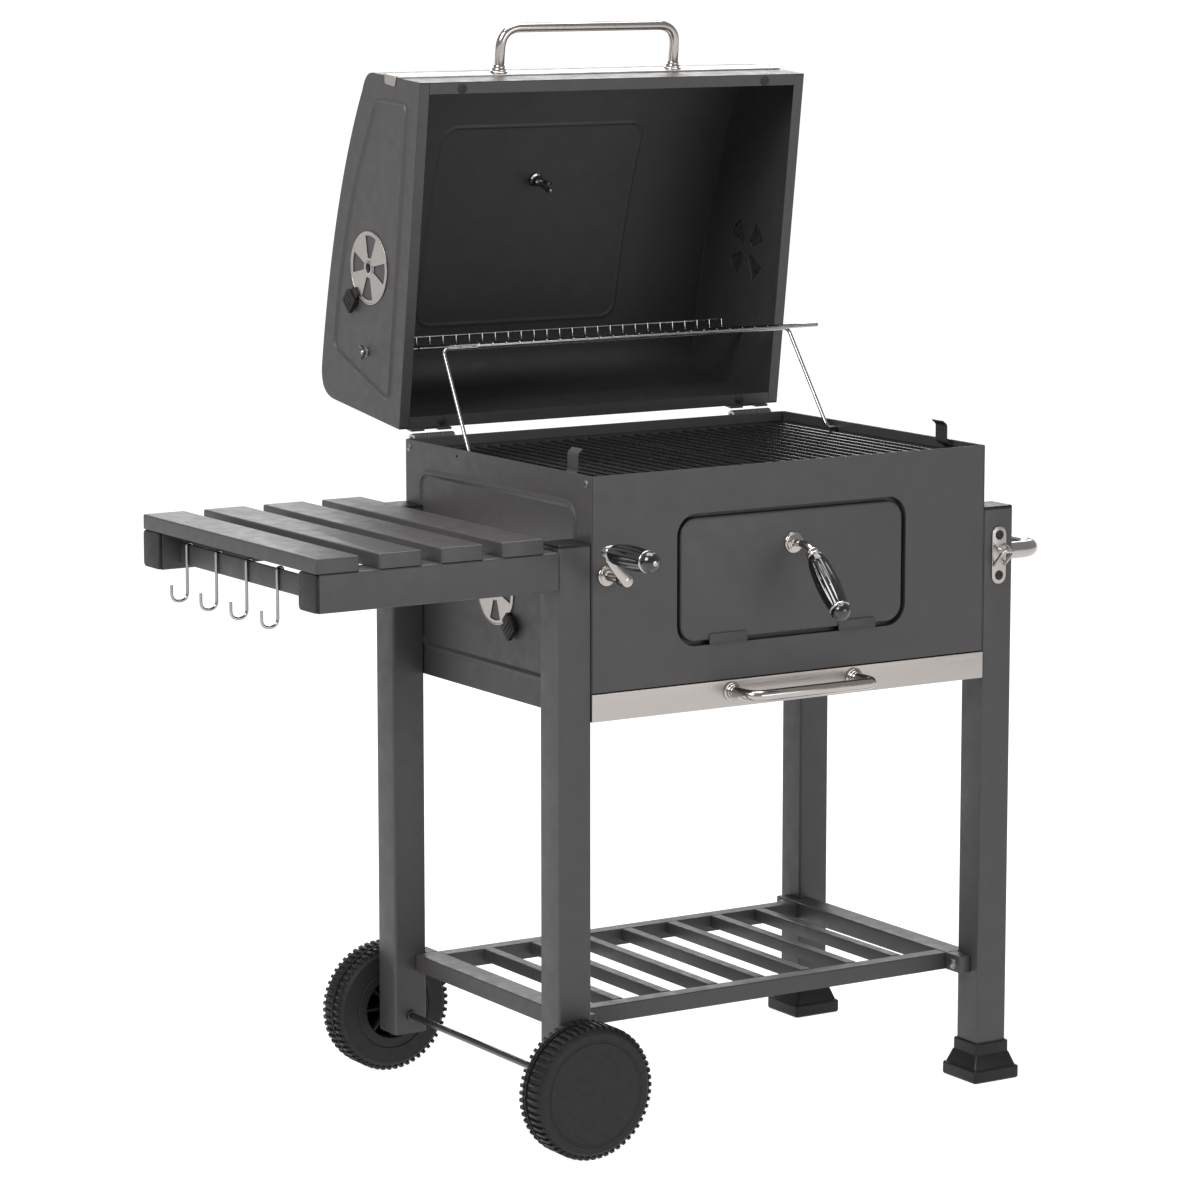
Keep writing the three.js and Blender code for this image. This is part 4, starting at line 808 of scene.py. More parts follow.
def add_vent(word, kind, radius, tab_turn):
    """A stainless vent disc with its hub, bolt and two-stepped plastic tab."""
    side = -1 if word == "left" else 1
    joint = JOINTS[f"{kind}_vent_{word}_turn"]
    centre = Vector(joint["pos_m"])
    face = (LEFT_X if side < 0 else RIGHT_X) + side * sizes().gap
    turn = Matrix.Identity(4)
    if kind == "lid":
        turn = Matrix.Rotation(-LID_OPEN, 4, "X")
    base = Matrix.Translation(Vector((face, centre.y, centre.z))) @ turn
    place = lambda u, v, w=0.0: base @ Vector((side * w, u, v))
    bm = bmesh.new()
    add_plate(bm, circle(0, 0, radius, 48), place, 0, 0.0012,
              wedges(0, 0, VENT_WEDGE, radius - VENT_MARGIN))
    hub = [(0.0095, 0.001), (0.0095, 0.0019), (0.0085, 0.0023), (0.0065, 0.0023), (0.0065, 0.001)]
    add_lathe(bm, hub, place, 24, closed=True)
    add_lathe(bm, [(radius - 0.0001, 0.0008), (radius - 0.0003, 0.0016), (radius - 0.0012, 0.0018),
                   (radius - 0.0020, 0.0012)], place, 48, closed=True)
    body = f"{kind}_vent_{word[0]}"
    piece(f"{kind}_vent_disc_{word}", bm, body, [stamped_stainless],
          [f"{kind}_vent_{word}"], edge=0.0002)
    bm = bmesh.new()
    add_bolt(bm, lambda u, v, w=0.0: place(u, v, w + 0.0012), 0.0052, painted_slot_shade=False)
    tab = Matrix.Rotation(tab_turn, 4, "X")
    laid = lambda u, v, w=0.0: base @ tab @ Vector((side * w, u, v))
    clear = sizes().bead_height + sizes().gap  # it swings over the pressed bead
    for near, far, half, high in ((-0.004, 0.006, 0.0085, 0.0055), (0.004, 0.027, 0.0125, 0.0090)):
        outline = shrinking(radius + near, radius + far, -half, half, 0.0028, 4)
        add_block(bm, outline, laid, clear, high, 0.0012)
    add_block(bm, shrinking(radius - 0.004, radius - 0.0022, -0.0065, 0.0065, 0.0008, 2), laid,
              0.0011, clear + 0.0005, 0.0003)
    for k in range(3):
        u = radius + 0.010 + k * 0.0055
        add_block(bm, shrinking(u, u + 0.0025, -0.0095, 0.0095, 0.001, 2), laid, 0.0085, 0.0099,
                  0.0005)
    piece(f"{kind}_vent_tab_{word}", bm, body, [moulded_plastic])


class CART_OT_vents(Operator):
    """Make the four air vents with their hubs and plastic tabs"""

    bl_idname = "cart.vents"
    bl_label = "Air vents"

    def execute(self, context):
        for _, word in SIDES:
            add_vent(word, "firebox", FIREBOX_VENT, math.radians(-135))
            add_vent(word, "lid", LID_VENT, math.radians(36))
        return {"FINISHED"}


# ---- grips, door, drawer, crank ----------------------------------------------------------------------


def add_grip(bm, place, length, radius, metal=0, black=1):
    """A turned grip from its neck at w = 0: chrome rings, a fluted barrel and a round end cap."""
    ring = [(0.30, 0.0), (0.52, 0.0), (0.58, 0.012), (0.58, 0.030), (0.50, 0.042), (0.50, 0.050),
            (0.62, 0.058), (0.66, 0.066), (0.66, 0.084), (0.60, 0.094), (0.30, 0.094)]
    add_lathe(bm, [(r * radius, h * length) for r, h in ring], place, 32, metal)
    cone = [(0.30, 0.090), (0.60, 0.094), (0.74, 0.150), (0.80, 0.176), (0.80, 0.192),
            (0.72, 0.200), (0.30, 0.200)]
    add_lathe(bm, [(r * radius, h * length) for r, h in cone], place, 32, black)
    flutes = counts().flutes
    steps = 14
    barrel = [(0.30, 0.20)]
    for i in range(steps + 1):
        t = i / steps
        barrel.append((0.76 + 0.24 * math.sin(math.pi * (0.14 + 0.72 * t)) ** 1.2, 0.20 + 0.62 * t))
    barrel.append((0.30, 0.82))

    def groove(turn, height):
        share = (height / length - 0.20) / 0.62
        depth = 0.085 * max(0.0, math.sin(math.pi * min(max(share, 0.0), 1.0))) ** 0.35
        return 1.0 - depth * abs(math.cos(turn * flutes / 2)) ** 6

    add_lathe(bm, [(r * radius, h * length) for r, h in barrel], place, flutes * 8, black,
              wave=groove)
    collar = [(0.30, 0.815), (0.84, 0.815), (0.90, 0.828), (0.90, 0.842), (0.82, 0.852),
              (0.30, 0.852)]
    add_lathe(bm, [(r * radius, h * length) for r, h in collar], place, 32, metal)
    cap = [(0.30, 0.850), (0.80, 0.852), (0.86, 0.875), (0.84, 0.905), (0.72, 0.945),
           (0.50, 0.975), (0.26, 0.992), (0.0, 1.0)]
    add_lathe(bm, [(r * radius, h * length) for r, h in cap], place, 32, black)


def add_rosette(bm, place, radius, height, material=0):
    """A turned foot with a step and a bead, standing on w = 0."""
    add_lathe(bm, [(radius, 0.0), (radius, height * 0.25), (radius * 0.93, height * 0.4),
                   (radius * 0.80, height * 0.45), (radius * 0.80, height * 0.70),
                   (radius * 0.70, height * 0.86), (radius * 0.55, height * 0.92),
                   (radius * 0.52, height), (0.0, height)], place, 32, material)


class CART_OT_fire_door(Operator):
    """Make the fire door with its hinge lips and its turned pull"""

    bl_idname = "cart.fire_door"
    bl_label = "Fire door and pull"

    def execute(self, context):
        s = sizes()
        low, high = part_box("fire_door")
        hinge = Vector(JOINTS["fire_door_hinge"]["pos_m"])
        bottom = hinge.z + 0.005
        bm = bmesh.new()
        outline = shrinking(low.x, high.x, bottom, high.z, 0.022, 8)
        add_pan(bm, outline, on_y(FRONT_Y), 0.010, s.sheet, s.fold * 1.4)
        piece("fire_door_leaf", bm, "door", [powder_coated_steel], ["fire_door"])
        bm = bmesh.new()
        middle = (low.x + high.x) / 2
        for side in (-1, 1):
            x = middle + side * 0.097
            lip = shrinking(x - 0.028, x + 0.028, low.z, bottom + 0.008, 0.002, 3)
            add_block(bm, lip, on_y(FRONT_Y), 0.0003, 0.0018, 0.0006)
            path = [Vector((x - 0.027, FRONT_Y - 0.0011, hinge.z + 0.0006)),
                    Vector((x + 0.027, FRONT_Y - 0.0011, hinge.z + 0.0006))]
            add_tube(bm, path, 0.0014, 12)
        piece("fire_door_hinges", bm, "door", [heat_resistant_black])
        x, z = MID_X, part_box("fire_door_pull")[1].z - 0.0085
        bm = bmesh.new()
        add_rosette(bm, along((x, FRONT_Y - s.gap, z), (0, -1, 0)), 0.0135, 0.0055)
        tilt = Vector((0, -math.cos(math.radians(47)), -math.sin(math.radians(47))))
        neck_end = Vector((x, FRONT_Y - 0.0395, z - 0.0055))
        path = bent([(x, FRONT_Y - 0.004, z), (x, neck_end.y + 0.006, z + 0.001),
                     neck_end + tilt * 0.007], 0.014)
        add_tube(bm, path, 0.0045, 16)
        add_grip(bm, along(neck_end, tilt), s.grip_length, s.grip_radius)
        piece("fire_door_grip", bm, "door", [polished_stainless, turned_phenolic],
              ["fire_door_pull"], smooth=50)
        return {"FINISHED"}


class CART_OT_ash_drawer(Operator):
    """Make the ash drawer: its brushed front strip, tray and handle"""

    bl_idname = "cart.ash_drawer"
    bl_label = "Ash drawer"

    def execute(self, context):
        s = sizes()
        low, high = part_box("ash_drawer_front")
        bm = bmesh.new()
        add_pan(bm, shrinking(low.x, high.x, low.z, high.z, 0.0012, 3),
                on_y(low.y), s.sheet * 0.99, s.sheet * 0.4, 0.0007)
        piece("ash_drawer_strip", bm, "drawer", [brushed_stainless],
              ["ash_drawer_front"])
        low_t, high_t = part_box("ash_drawer_tray")
        bm = bmesh.new()
        add_pan(bm, shrinking(low_t.x, high_t.x, low_t.y, high_t.y, 0.006, 4),
                on_z(low_t.z, -1), high_t.z - low_t.z, s.sheet, s.fold)
        piece("ash_tray", bm, "drawer", [heat_resistant_black],
              ["ash_drawer_tray"])
        low_h, high_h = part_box("ash_drawer_handle")
        radius = s.drawer_handle_tube
        z, y = (low_h.z + high_h.z) / 2, low_h.y + radius
        left, right = low_h.x + radius, high_h.x - radius
        wall = low.y - s.gap
        bm = bmesh.new()
        path = bent([(left, wall - 0.002, z), (left, y, z), (right, y, z),
                     (right, wall - 0.002, z)], 0.018)
        add_tube(bm, path, radius, 24)
        for x in (left, right):
            add_stepped_collar(bm, along((x, wall, z), (0, -1, 0)), radius)
        piece("ash_drawer_grip", bm, "drawer", [polished_stainless],
              ["ash_drawer_handle"])
        return {"FINISHED"}


def add_stepped_collar(bm, place, tube):
    """The stepped foot of a tube handle: a wide flange, a bead and a narrow ring."""
    steps = [(tube * 1.75, 0.0), (tube * 1.75, 0.0016), (tube * 1.62, 0.0024),
             (tube * 1.40, 0.0026), (tube * 1.40, 0.0050), (tube * 1.30, 0.0060),
             (tube * 1.16, 0.0062), (tube * 1.16, 0.0088), (tube * 1.05, 0.0098),
             (tube * 0.90, 0.0098), (tube * 0.90, 0.0)]
    add_lathe(bm, steps, place, 32, closed=True)


class CART_OT_height_crank(Operator):
    """Make the crank that lifts the charcoal pan, with its shaft, arms and grip"""

    bl_idname = "cart.height_crank"
    bl_label = "Height crank"

    def execute(self, context):
        s = sizes()
        shaft = Vector(JOINTS["height_crank_turn"]["pos_m"])
        x, z = LEFT_X + 0.021, shaft.z
        arm_turn, arm, thickness = math.radians(127), 0.046, 0.004
        out = FRONT_Y - 0.044
        bm = bmesh.new()
        add_tube(bm, [Vector((x, out - 0.003, z)), Vector((x, REAR_Y - 0.0016, z))], 0.005, 20)
        add_rosette(bm, along((x, FRONT_Y - s.gap, z), (0, -1, 0)), 0.0125, 0.006)
        add_lathe(bm, [(0.0045, 0.0), (0.0075, 0.0), (0.0080, 0.003), (0.0080, 0.009),
                       (0.0068, 0.012), (0.0045, 0.012)],
                  along((x, out + 0.012, z), (0, -1, 0)), 24)
        reach = Vector((math.cos(arm_turn), 0, math.sin(arm_turn)))
        cross = Vector((-reach.z, 0, reach.x))
        steps = 12
        loops = []
        for i in range(steps + 1):
            t = i / steps
            bow = math.sin(math.pi * t) * 0.0035
            half = 0.0072 - 0.0014 * math.sin(math.pi * t)
            middle = Vector((x, out - thickness / 2, z)) + reach * arm * t
            middle.y -= bow * 0.6
            corners = ((-half, 0.3), (-half * 0.85, 0.5), (half * 0.85, 0.5), (half, 0.3),
                       (half, -0.3), (half * 0.85, -0.5), (-half * 0.85, -0.5), (-half, -0.3))
            loops.append([middle + cross * (u + bow) + Vector((0, v * thickness, 0))
                          for u, v in corners])
        add_loops(bm, loops)
        for end in (Vector((x, out, z)), Vector((x, out, z)) + reach * arm):
            add_lathe(bm, [(0.0, 0.0), (0.0072, 0.0), (0.0078, 0.0008), (0.0078, 0.0036),
                           (0.0070, 0.0044), (0.0, 0.0044)], along(end, (0, -1, 0)), 28)
        self.lift_arms(bm, x, z)
        grip = Vector((x, out - thickness, z)) + reach * arm
        add_grip(bm, along(grip, (0, -1, 0)), s.grip_length, s.grip_radius)
        end = grip + Vector((0, -s.grip_length + 0.0008, 0))
        add_lathe(bm, [(0.0, -0.002), (0.0034, -0.002), (0.0034, 0.0004), (0.0026, 0.0008),
                       (0.0, 0.0008)], along(end, (0, -1, 0)), 20)
        piece("height_crank_turned", bm, "crank",
              [polished_stainless, turned_phenolic], ["height_crank"], smooth=50)
        return {"FINISHED"}

    def lift_arms(self, bm, x, z):
        """The two arms inside, whose pins carry the charcoal pan."""
        turn, reach = math.radians(-30), 0.045
        pan_low, pan_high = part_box("charcoal_pan")
        toward = Vector((math.cos(turn), 0, math.sin(turn)))
        for side, end in ((-1, pan_low.y), (1, pan_high.y)):
            near = end + side * 0.004
            blade = lambda u, v, w=0.0: (Vector((x, near + side * w, z)) + toward * u
                                         + Vector((-toward.z, 0, toward.x)) * v)
            add_block(bm, shrinking(-0.004, reach + 0.004, -0.004, 0.004, 0.0039, 4), blade,
                      0.0, 0.004, 0.0006)
            pin = Vector((x, near + side * 0.003, z)) + toward * reach
            add_tube(bm, [pin, Vector((pin.x, end - side * 0.024, pin.z))], 0.004, 16)


# ---- charcoal pan and grates -----------------------------------------------------------------------


def add_grate(bm, low, high, radius, rods):
    """Rods along Y, their ends turned down, welded to three rods along X."""
    top = high.z - radius
    under = low.z + radius
    for i in range(rods):
        x = low.x + radius * 2 + (high.x - low.x - radius * 4) * i / (rods - 1)
        add_tube(bm, bent([(x, low.y + radius, under + 0.001), (x, low.y + radius, top),
                           (x, high.y - radius, top), (x, high.y - radius, under + 0.001)],
                          0.004, 4), radius, 10)
    for y in (low.y + 0.020, (low.y + high.y) / 2, high.y - 0.020):
        add_tube(bm, [Vector((low.x, y, under)), Vector((high.x, y, under))], radius, 10)


class CART_OT_grates(Operator):
    """Make the cooking grates, the charcoal grate and the charcoal pan"""

    bl_idname = "cart.grates"
    bl_label = "Grates and charcoal pan"

    def execute(self, context):
        s, n = sizes(), counts()
        for _, word in SIDES:
            bm = bmesh.new()
            add_grate(bm, *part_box(f"cooking_grate_{word}"), s.grate_rod, n.grate_rods)
            piece(f"cooking_grate_rods_{word}", bm, "cart", [glassy_enamel],
                  [f"cooking_grate_{word}"])
        bm = bmesh.new()
        add_grate(bm, *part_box("charcoal_grate"), s.grate_rod, n.coal_rods)
        piece("charcoal_grate_rods", bm, "pan", [glassy_enamel],
              ["charcoal_grate"])
        low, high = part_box("charcoal_pan")
        wall = low.x + 0.040
        guide = high.x - 0.0192
        bm = bmesh.new()
        outline = shrinking(wall, guide, low.y, high.y, 0.008, 5)
        add_pan(bm, outline, on_z(low.z, -1), high.z - low.z, s.sheet, s.fold)
        level = (high.z - s.sheet, high.z)
        for x in ((low.x, wall + s.sheet * 0.5), (guide - s.sheet * 0.5, high.x)):
            add_box(bm, x, (low.y, high.y), level)
        for x in (low.x, high.x - s.sheet):
            add_box(bm, (x, x + s.sheet), (low.y + 0.004, high.y - 0.004),
                    (high.z - 0.008, high.z - 0.0002))
        piece("charcoal_tray", bm, "pan", [heat_resistant_black],
              ["charcoal_pan"], edge=0.0003)
        return {"FINISHED"}


# ---- lid -----------------------------------------------------------------------------------------

LID_REAR, LID_FRONT = 0.213, 0.146  # heights of the lid at its rear and front walls
LID_LEAN, LID_CROWN = 0.007, 0.0138
LID_REAR_CORNER, LID_FRONT_CORNER = 0.038, 0.026
LID_SEAT = 0.002  # room between the closed lid and the firebox
LID_FLANGE = 0.015
TRIM_UP, TRIM_HEIGHT, TRIM_SHEET = 0.055, 0.038, 0.0015
# the lid is drawn closed, from its hinge axis, and turned open with this
LID_TURN = Matrix.Translation(LID_HINGE) @ Matrix.Rotation(-LID_OPEN, 4, "X")


def lid_y(back):
    """Where something stands in the closed lid, from the outside of its rear wall."""
    return REAR_Y - back - LID_HINGE.y


def lid_z(up):
    """How high something is in the closed lid, from its rim."""
    return TOP_Z + LID_SEAT + up - LID_HINGE.z


def lid_front(up):
    """Where the outside of the front wall stands at a height above the rim."""
    return lid_y(BODY_DEPTH - LID_LEAN * up / (LID_FRONT - LID_FRONT_CORNER))


def lid_profile(inset=0.0, corner=8, roof=24):
    """The lid's outline in (y, z), from the rear rim over the top to the front rim."""
    rear, front, crest = inset, BODY_DEPTH - inset, (LID_REAR + LID_FRONT) / 2 + 2 * LID_CROWN
    high, low = LID_REAR - inset, LID_FRONT - inset
    nose = front - LID_LEAN
    curves = (
        (corner, (rear, high - LID_REAR_CORNER), (rear, high), (rear + LID_REAR_CORNER, high)),
        (roof, (rear + LID_REAR_CORNER, high), (BODY_DEPTH * 0.6, crest - inset),
         (nose - LID_FRONT_CORNER, low)),
        (corner, (nose - LID_FRONT_CORNER, low), (nose, low - 0.006),
         (nose, low - LID_FRONT_CORNER)),
    )
    path = [(rear, 0.0)]
    for steps, a, b, c in curves:
        for i in range(steps + 1):
            t = i / steps
            spot = tuple(a[k] * (1 - t) ** 2 + b[k] * 2 * t * (1 - t) + c[k] * t * t
                         for k in (0, 1))
            if (Vector(spot) - Vector(path[-1])).length > 1e-6:
                path.append(spot)
    path.append((front, 0.0))
    return [Vector((lid_y(back), lid_z(up))) for back, up in path]


def lid_bead():
    """The pressed bead of the lid's side, set in from its edge all round."""
    inset = sizes().lid_bead_inset
    roof = lid_profile(inset, corner=1, roof=12)[1:-1]
    low = lid_z(inset)
    corners = [Vector((roof[0].x, low)), *roof[1:-2],
               Vector((lid_front(LID_FRONT) + inset, roof[-2].y - 0.006)),
               Vector((lid_front(inset) + inset, low))]
    return fillet(corners, 0.014, 4)


class CART_OT_lid(Operator):
    """Make the lid's two sides and the sheet bent over it"""

    bl_idname = "cart.lid"
    bl_label = "Lid shell"

    def execute(self, context):
        s = sizes()
        for side, word in SIDES:
            self.side_panel(side, word)
        self.wrap()
        bm = bmesh.new()
        for x in (-0.232, 0.232):
            for back in (BODY_DEPTH - 0.0085, 0.0085):
                spot = Vector((x, lid_y(back), lid_z(0)))
                add_lathe(bm, [(0.0062, 0.0), (0.0062, 0.0010), (0.0052, 0.0017), (0.0, 0.0017)],
                          along(spot, (0, 0, -1)), 20)
        piece("lid_bumpers", bm, "lid", [moulded_rubber], turn=LID_TURN)
        return {"FINISHED"}

    def side_panel(self, side, word):
        s = sizes()
        x = side * HALF_WIDTH
        vent = LID_TURN.inverted() @ Vector(JOINTS[f"lid_vent_{word}_turn"]["pos_m"])
        bm = bmesh.new()
        add_plate(bm, lid_profile(), on_x(x, -side), 0, s.sheet,
                  wedges(vent.y, vent.z, VENT_WEDGE, LID_VENT - VENT_MARGIN, VENT_CLOSED))
        rim = sorted((x - side * s.sheet * 0.8, x - side * LID_FLANGE))
        add_box(bm, rim, (lid_y(BODY_DEPTH - 0.0018), lid_y(0.0018)), (lid_z(0), lid_z(s.sheet)))
        add_bead(bm, lid_bead(), on_x(x, side), s.bead_width, s.bead_height, s.sheet * 0.6)
        made = piece(f"lid_panel_{word}", bm, "lid",
                     [powder_coated_steel, heat_resistant_black], [f"lid_{word}"], edge=0.0005,
                     turn=LID_TURN)
        inside = MID_X + x - side * s.sheet
        for face in made.data.polygons:
            if face.normal.x * side < -0.9 and abs(face.center.x - inside) < 0.0003:
                face.material_index = 1

    def wrap(self):
        """The bent sheet, as one skin outside and one inside, with a pressed frame in the roof."""
        s = sizes()
        half = HALF_WIDTH - s.sheet - s.gap
        frame_x, frame_back, corner = 0.155, (0.082, 0.360), 0.020
        width, height = 0.0030, -0.0013
        fine = [k * 0.0015 for k in range(-5, 20)]
        across = sorted({round(v, 5) for v in (
            [half * k / 8 for k in range(-8, 9)]
            + [sign * (frame_x - step) for sign in (-1, 1) for step in fine])})
        dense = lid_profile(roof=240)
        spots = []
        for i, point in enumerate(dense):
            back = REAR_Y - LID_HINGE.y - point.x
            near = min(abs(back - edge) for edge in frame_back)
            inner = frame_back[0] - 0.008 < back < frame_back[0] + 0.028 \
                or frame_back[1] - 0.028 < back < frame_back[1] + 0.008
            roof = 9 < i < len(dense) - 10
            if not roof or inner or i % 10 == 0 or near < 0.004:
                spots.append(i)

        def pressed(x, back):
            """Height of the pressed frame: a bead along a rounded rectangle."""
            centre = sum(frame_back) / 2
            span = (frame_back[1] - frame_back[0]) / 2
            qx = abs(x) - frame_x + corner
            qy = abs(back - centre) - span + corner
            outside = math.hypot(max(qx, 0.0), max(qy, 0.0)) + min(max(qx, qy), 0.0) - corner
            share = min(1.0, abs(outside) / width)
            return height * (0.5 + 0.5 * math.cos(math.pi * share))

        bm = bmesh.new()
        skins = []
        for inset, material in ((0.0, 0), (s.sheet, 1)):
            curve = lid_profile(inset, roof=240)
            rows = []
            for i in spots:
                run = (curve[min(i + 1, len(curve) - 1)] - curve[max(i - 1, 0)]).normalized()
                out = Vector((run.y, -run.x))
                if out.dot(curve[i] - Vector((lid_y(0.22), lid_z(0.0)))) < 0:
                    out = -out
                back = REAR_Y - LID_HINGE.y - dense[i].x
                lift = pressed if 9 < i < len(dense) - 10 else (lambda x, b: 0.0)
                rows.append([bm.verts.new((x, *(curve[i] + out * lift(x, back))))
                             for x in across])
            for a, b in zip(rows, rows[1:]):
                for i in range(len(across) - 1):
                    face = bm.faces.new((a[i], a[i + 1], b[i + 1], b[i]))
                    face.material_index = material
            skins.append(rows)
        outer, inner = skins
        edges = [(outer[0], inner[0]), (outer[-1], inner[-1]),
                 ([r[0] for r in outer], [r[0] for r in inner]),
                 ([r[-1] for r in outer], [r[-1] for r in inner])]
        for a, b in edges:
            for i in range(len(a) - 1):
                bm.faces.new((a[i], a[i + 1], b[i + 1], b[i]))
        rim_x = HALF_WIDTH - LID_FLANGE - s.gap
        for near, far in ((0.0005, LID_FLANGE), (BODY_DEPTH - LID_FLANGE, BODY_DEPTH - 0.0005)):
            add_box(bm, (-rim_x, rim_x), (lid_y(far), lid_y(near)), (lid_z(0), lid_z(s.sheet)))
        piece("lid_roof", bm, "lid", [powder_coated_steel, heat_resistant_black],
              ["lid_wrap"], turn=LID_TURN, smooth=50)


def add_wing_nut(bm, place, size, material=0):
    """A cast wing nut on w = 0: a round hub with two ears."""
    add_lathe(bm, [(size * 0.62, 0.0), (size * 0.62, size * 0.12), (size * 0.46, size * 0.2),
                   (size * 0.40, size * 0.72), (size * 0.32, size * 0.8), (0.0, size * 0.8)],
              place, 20, material)
    for side in (-1, 1):
        def ear(u, v, w=0.0):
            return place(side * (size * 0.34 + u + v * 0.35), w, size * 0.25 + v)
        outline = fillet([Vector(p) * size for p in ((0.0, 0.0), (0.42, 0.08), (0.62, 0.62),
                                                     (0.40, 0.92), (0.12, 0.60))], size * 0.2, 4)
        add_plate(bm, outline, ear, -size * 0.11, size * 0.11, material=material)


class CART_OT_lid_fittings(Operator):
    """Make the lid's brushed trim, its handle and its thermometer"""

    bl_idname = "cart.lid_fittings"
    bl_label = "Lid trim, handle and thermometer"

    def execute(self, context):
        self.trim()
        self.handle()
        self.thermometer()
        return {"FINISHED"}

    def trim(self):
        """A brushed strip over the front wall, its ends folded round the corners."""
        s = sizes()
        low, high = TRIM_UP, TRIM_UP + TRIM_HEIGHT
        lean = Vector((0, lid_front(high) - lid_front(low), TRIM_HEIGHT)).normalized()
        out = Vector((0, -lean.z, lean.y))
        base = Vector((0, lid_front(low) - s.gap, lid_z(low)))
        place = lambda u, v, w=0.0: base + Vector((u, 0, 0)) + lean * v + out * w
        half = HALF_WIDTH - 0.0005
        bm = bmesh.new()
        add_block(bm, shrinking(-half, half, 0, TRIM_HEIGHT, 0.002, 3), place, 0, TRIM_SHEET,
                  0.0006)
        piece("lid_trim_strip", bm, "lid", [brushed_stainless], ["lid_trim"],
              turn=LID_TURN)
        bm = bmesh.new()
        for side in (-1, 1):
            wall = on_x(side * HALF_WIDTH, side)
            y = sorted((lid_front(low) - 0.0006, lid_front(low) + 0.012))
            tab = fillet([Vector((y[0], lid_z(low + 0.004))), Vector((y[1], lid_z(low + 0.006))),
                          Vector((y[1], lid_z(high - 0.006))), Vector((y[0], lid_z(high - 0.004)))],
                         0.003, 3)
            add_plate(bm, tab, wall, 0.0002, 0.0012)
        piece("lid_trim_tabs", bm, "lid", [brushed_stainless], edge=0.0002,
              turn=LID_TURN)

    def handle(self):
        s = sizes()
        low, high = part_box("lid_handle")
        radius = s.lid_handle_tube
        left, right = low.x + radius - MID_X, high.x - radius - MID_X
        up = 0.075
        near = lid_front(up) - s.gap * 2 - TRIM_SHEET
        far, z = near - 0.058, lid_z(up)
        bm = bmesh.new()
        add_tube(bm, bent([(left, near - 0.001, z), (left, far, z), (right, far, z),
                           (right, near - 0.001, z)], 0.028, 12), radius, 24)
        for x in (left, right):
            add_stepped_collar(bm, along((x, near, z), (0, -1, 0)), radius)
        piece("lid_handle_tube", bm, "lid", [polished_stainless], ["lid_handle"],
              turn=LID_TURN)

    def thermometer(self):
        """A dial on the roof with a stem through it, held inside by a wing nut."""
        s = sizes()
        curve = lid_profile()
        y = lid_y(0.283)
        i = next(k for k, point in enumerate(curve) if point.x < y)
        a, b = curve[i - 1], curve[i]
        z = a.y + (y - a.x) / (b.x - a.x) * (b.y - a.y)
        slope = math.atan2(b.y - a.y, b.x - a.x) - math.pi
        seat = Matrix.Translation((0, y, z)) @ Matrix.Rotation(slope, 4, "X")
        place = lambda u, v, w=0.0: seat @ Vector((u, v, w))
        bm = bmesh.new()
        radius, deep = 0.030, 0.0118
        add_lathe(bm, [(0.0, 0.0004), (radius * 0.86, 0.0004), (radius * 0.92, 0.002),
                       (radius, 0.004), (radius, 0.0092), (radius * 0.985, 0.0108),
                       (radius * 0.955, deep), (radius * 0.90, deep), (radius * 0.87, 0.0102),
                       (radius * 0.87, 0.0080), (0.0, 0.0080)], place, 64, 0)
        add_plate(bm, circle(0, 0, radius * 0.868, 48), place, 0.0080, 0.0084, material=1)
        sweep = math.radians(270)
        for k in range(29):
            turn = math.radians(225) - sweep * k / 28
            long = k % 4 == 0
            inner = radius * (0.70 if long else 0.76)
            half = 0.00045 if long else 0.00025
            run = Vector((math.cos(turn), math.sin(turn)))
            side = Vector((-run.y, run.x)) * half
            bar = [run * inner - side, run * radius * 0.82 - side, run * radius * 0.82 + side,
                   run * inner + side]
            add_plate(bm, bar, place, 0.0083, 0.0086, material=2)
            if long:
                spot = run * radius * 0.57
                add_text(bm, str(50 * (k // 4)), 0.0052,
                         lambda u, v, w=0.0, at=spot: place(u + at.x, v + at.y, 0.0086 + w),
                         0.0002, 2)
        aim = math.radians(225) - sweep * 0.04
        run = Vector((math.cos(aim), math.sin(aim)))
        side = Vector((-run.y, run.x))
        needle = [run * radius * 0.72, -run * radius * 0.2 + side * 0.0011,
                  -run * radius * 0.2 - side * 0.0011]
        add_plate(bm, needle, place, 0.0089, 0.0092, material=3)
        add_lathe(bm, [(0.0024, 0.0084), (0.0024, 0.0096), (0.0016, 0.0100), (0.0, 0.0100)],
                  place, 20, 0)
        stem = lambda u, v, w=0.0: place(u, v, -w)
        add_lathe(bm, [(0.0036, -0.001), (0.0036, 0.036), (0.0040, 0.0375), (0.0040, 0.0395),
                       (0.0026, 0.0418), (0.0, 0.042)], stem, 20, 4)
        add_lathe(bm, [(0.0052, 0.0012), (0.0092, 0.0012), (0.0092, 0.0028), (0.0052, 0.0028)],
                  stem, 24, 4, closed=True)
        add_wing_nut(bm, lambda u, v, w=0.0: stem(u, v, w + 0.0028), 0.015, 4)
        piece("lid_thermometer_dial", bm, "lid",
              [polished_stainless, dial_card, dial_ink, pointer_lacquer, chrome_plated_wire],
              ["lid_thermometer"], turn=LID_TURN, smooth=32)


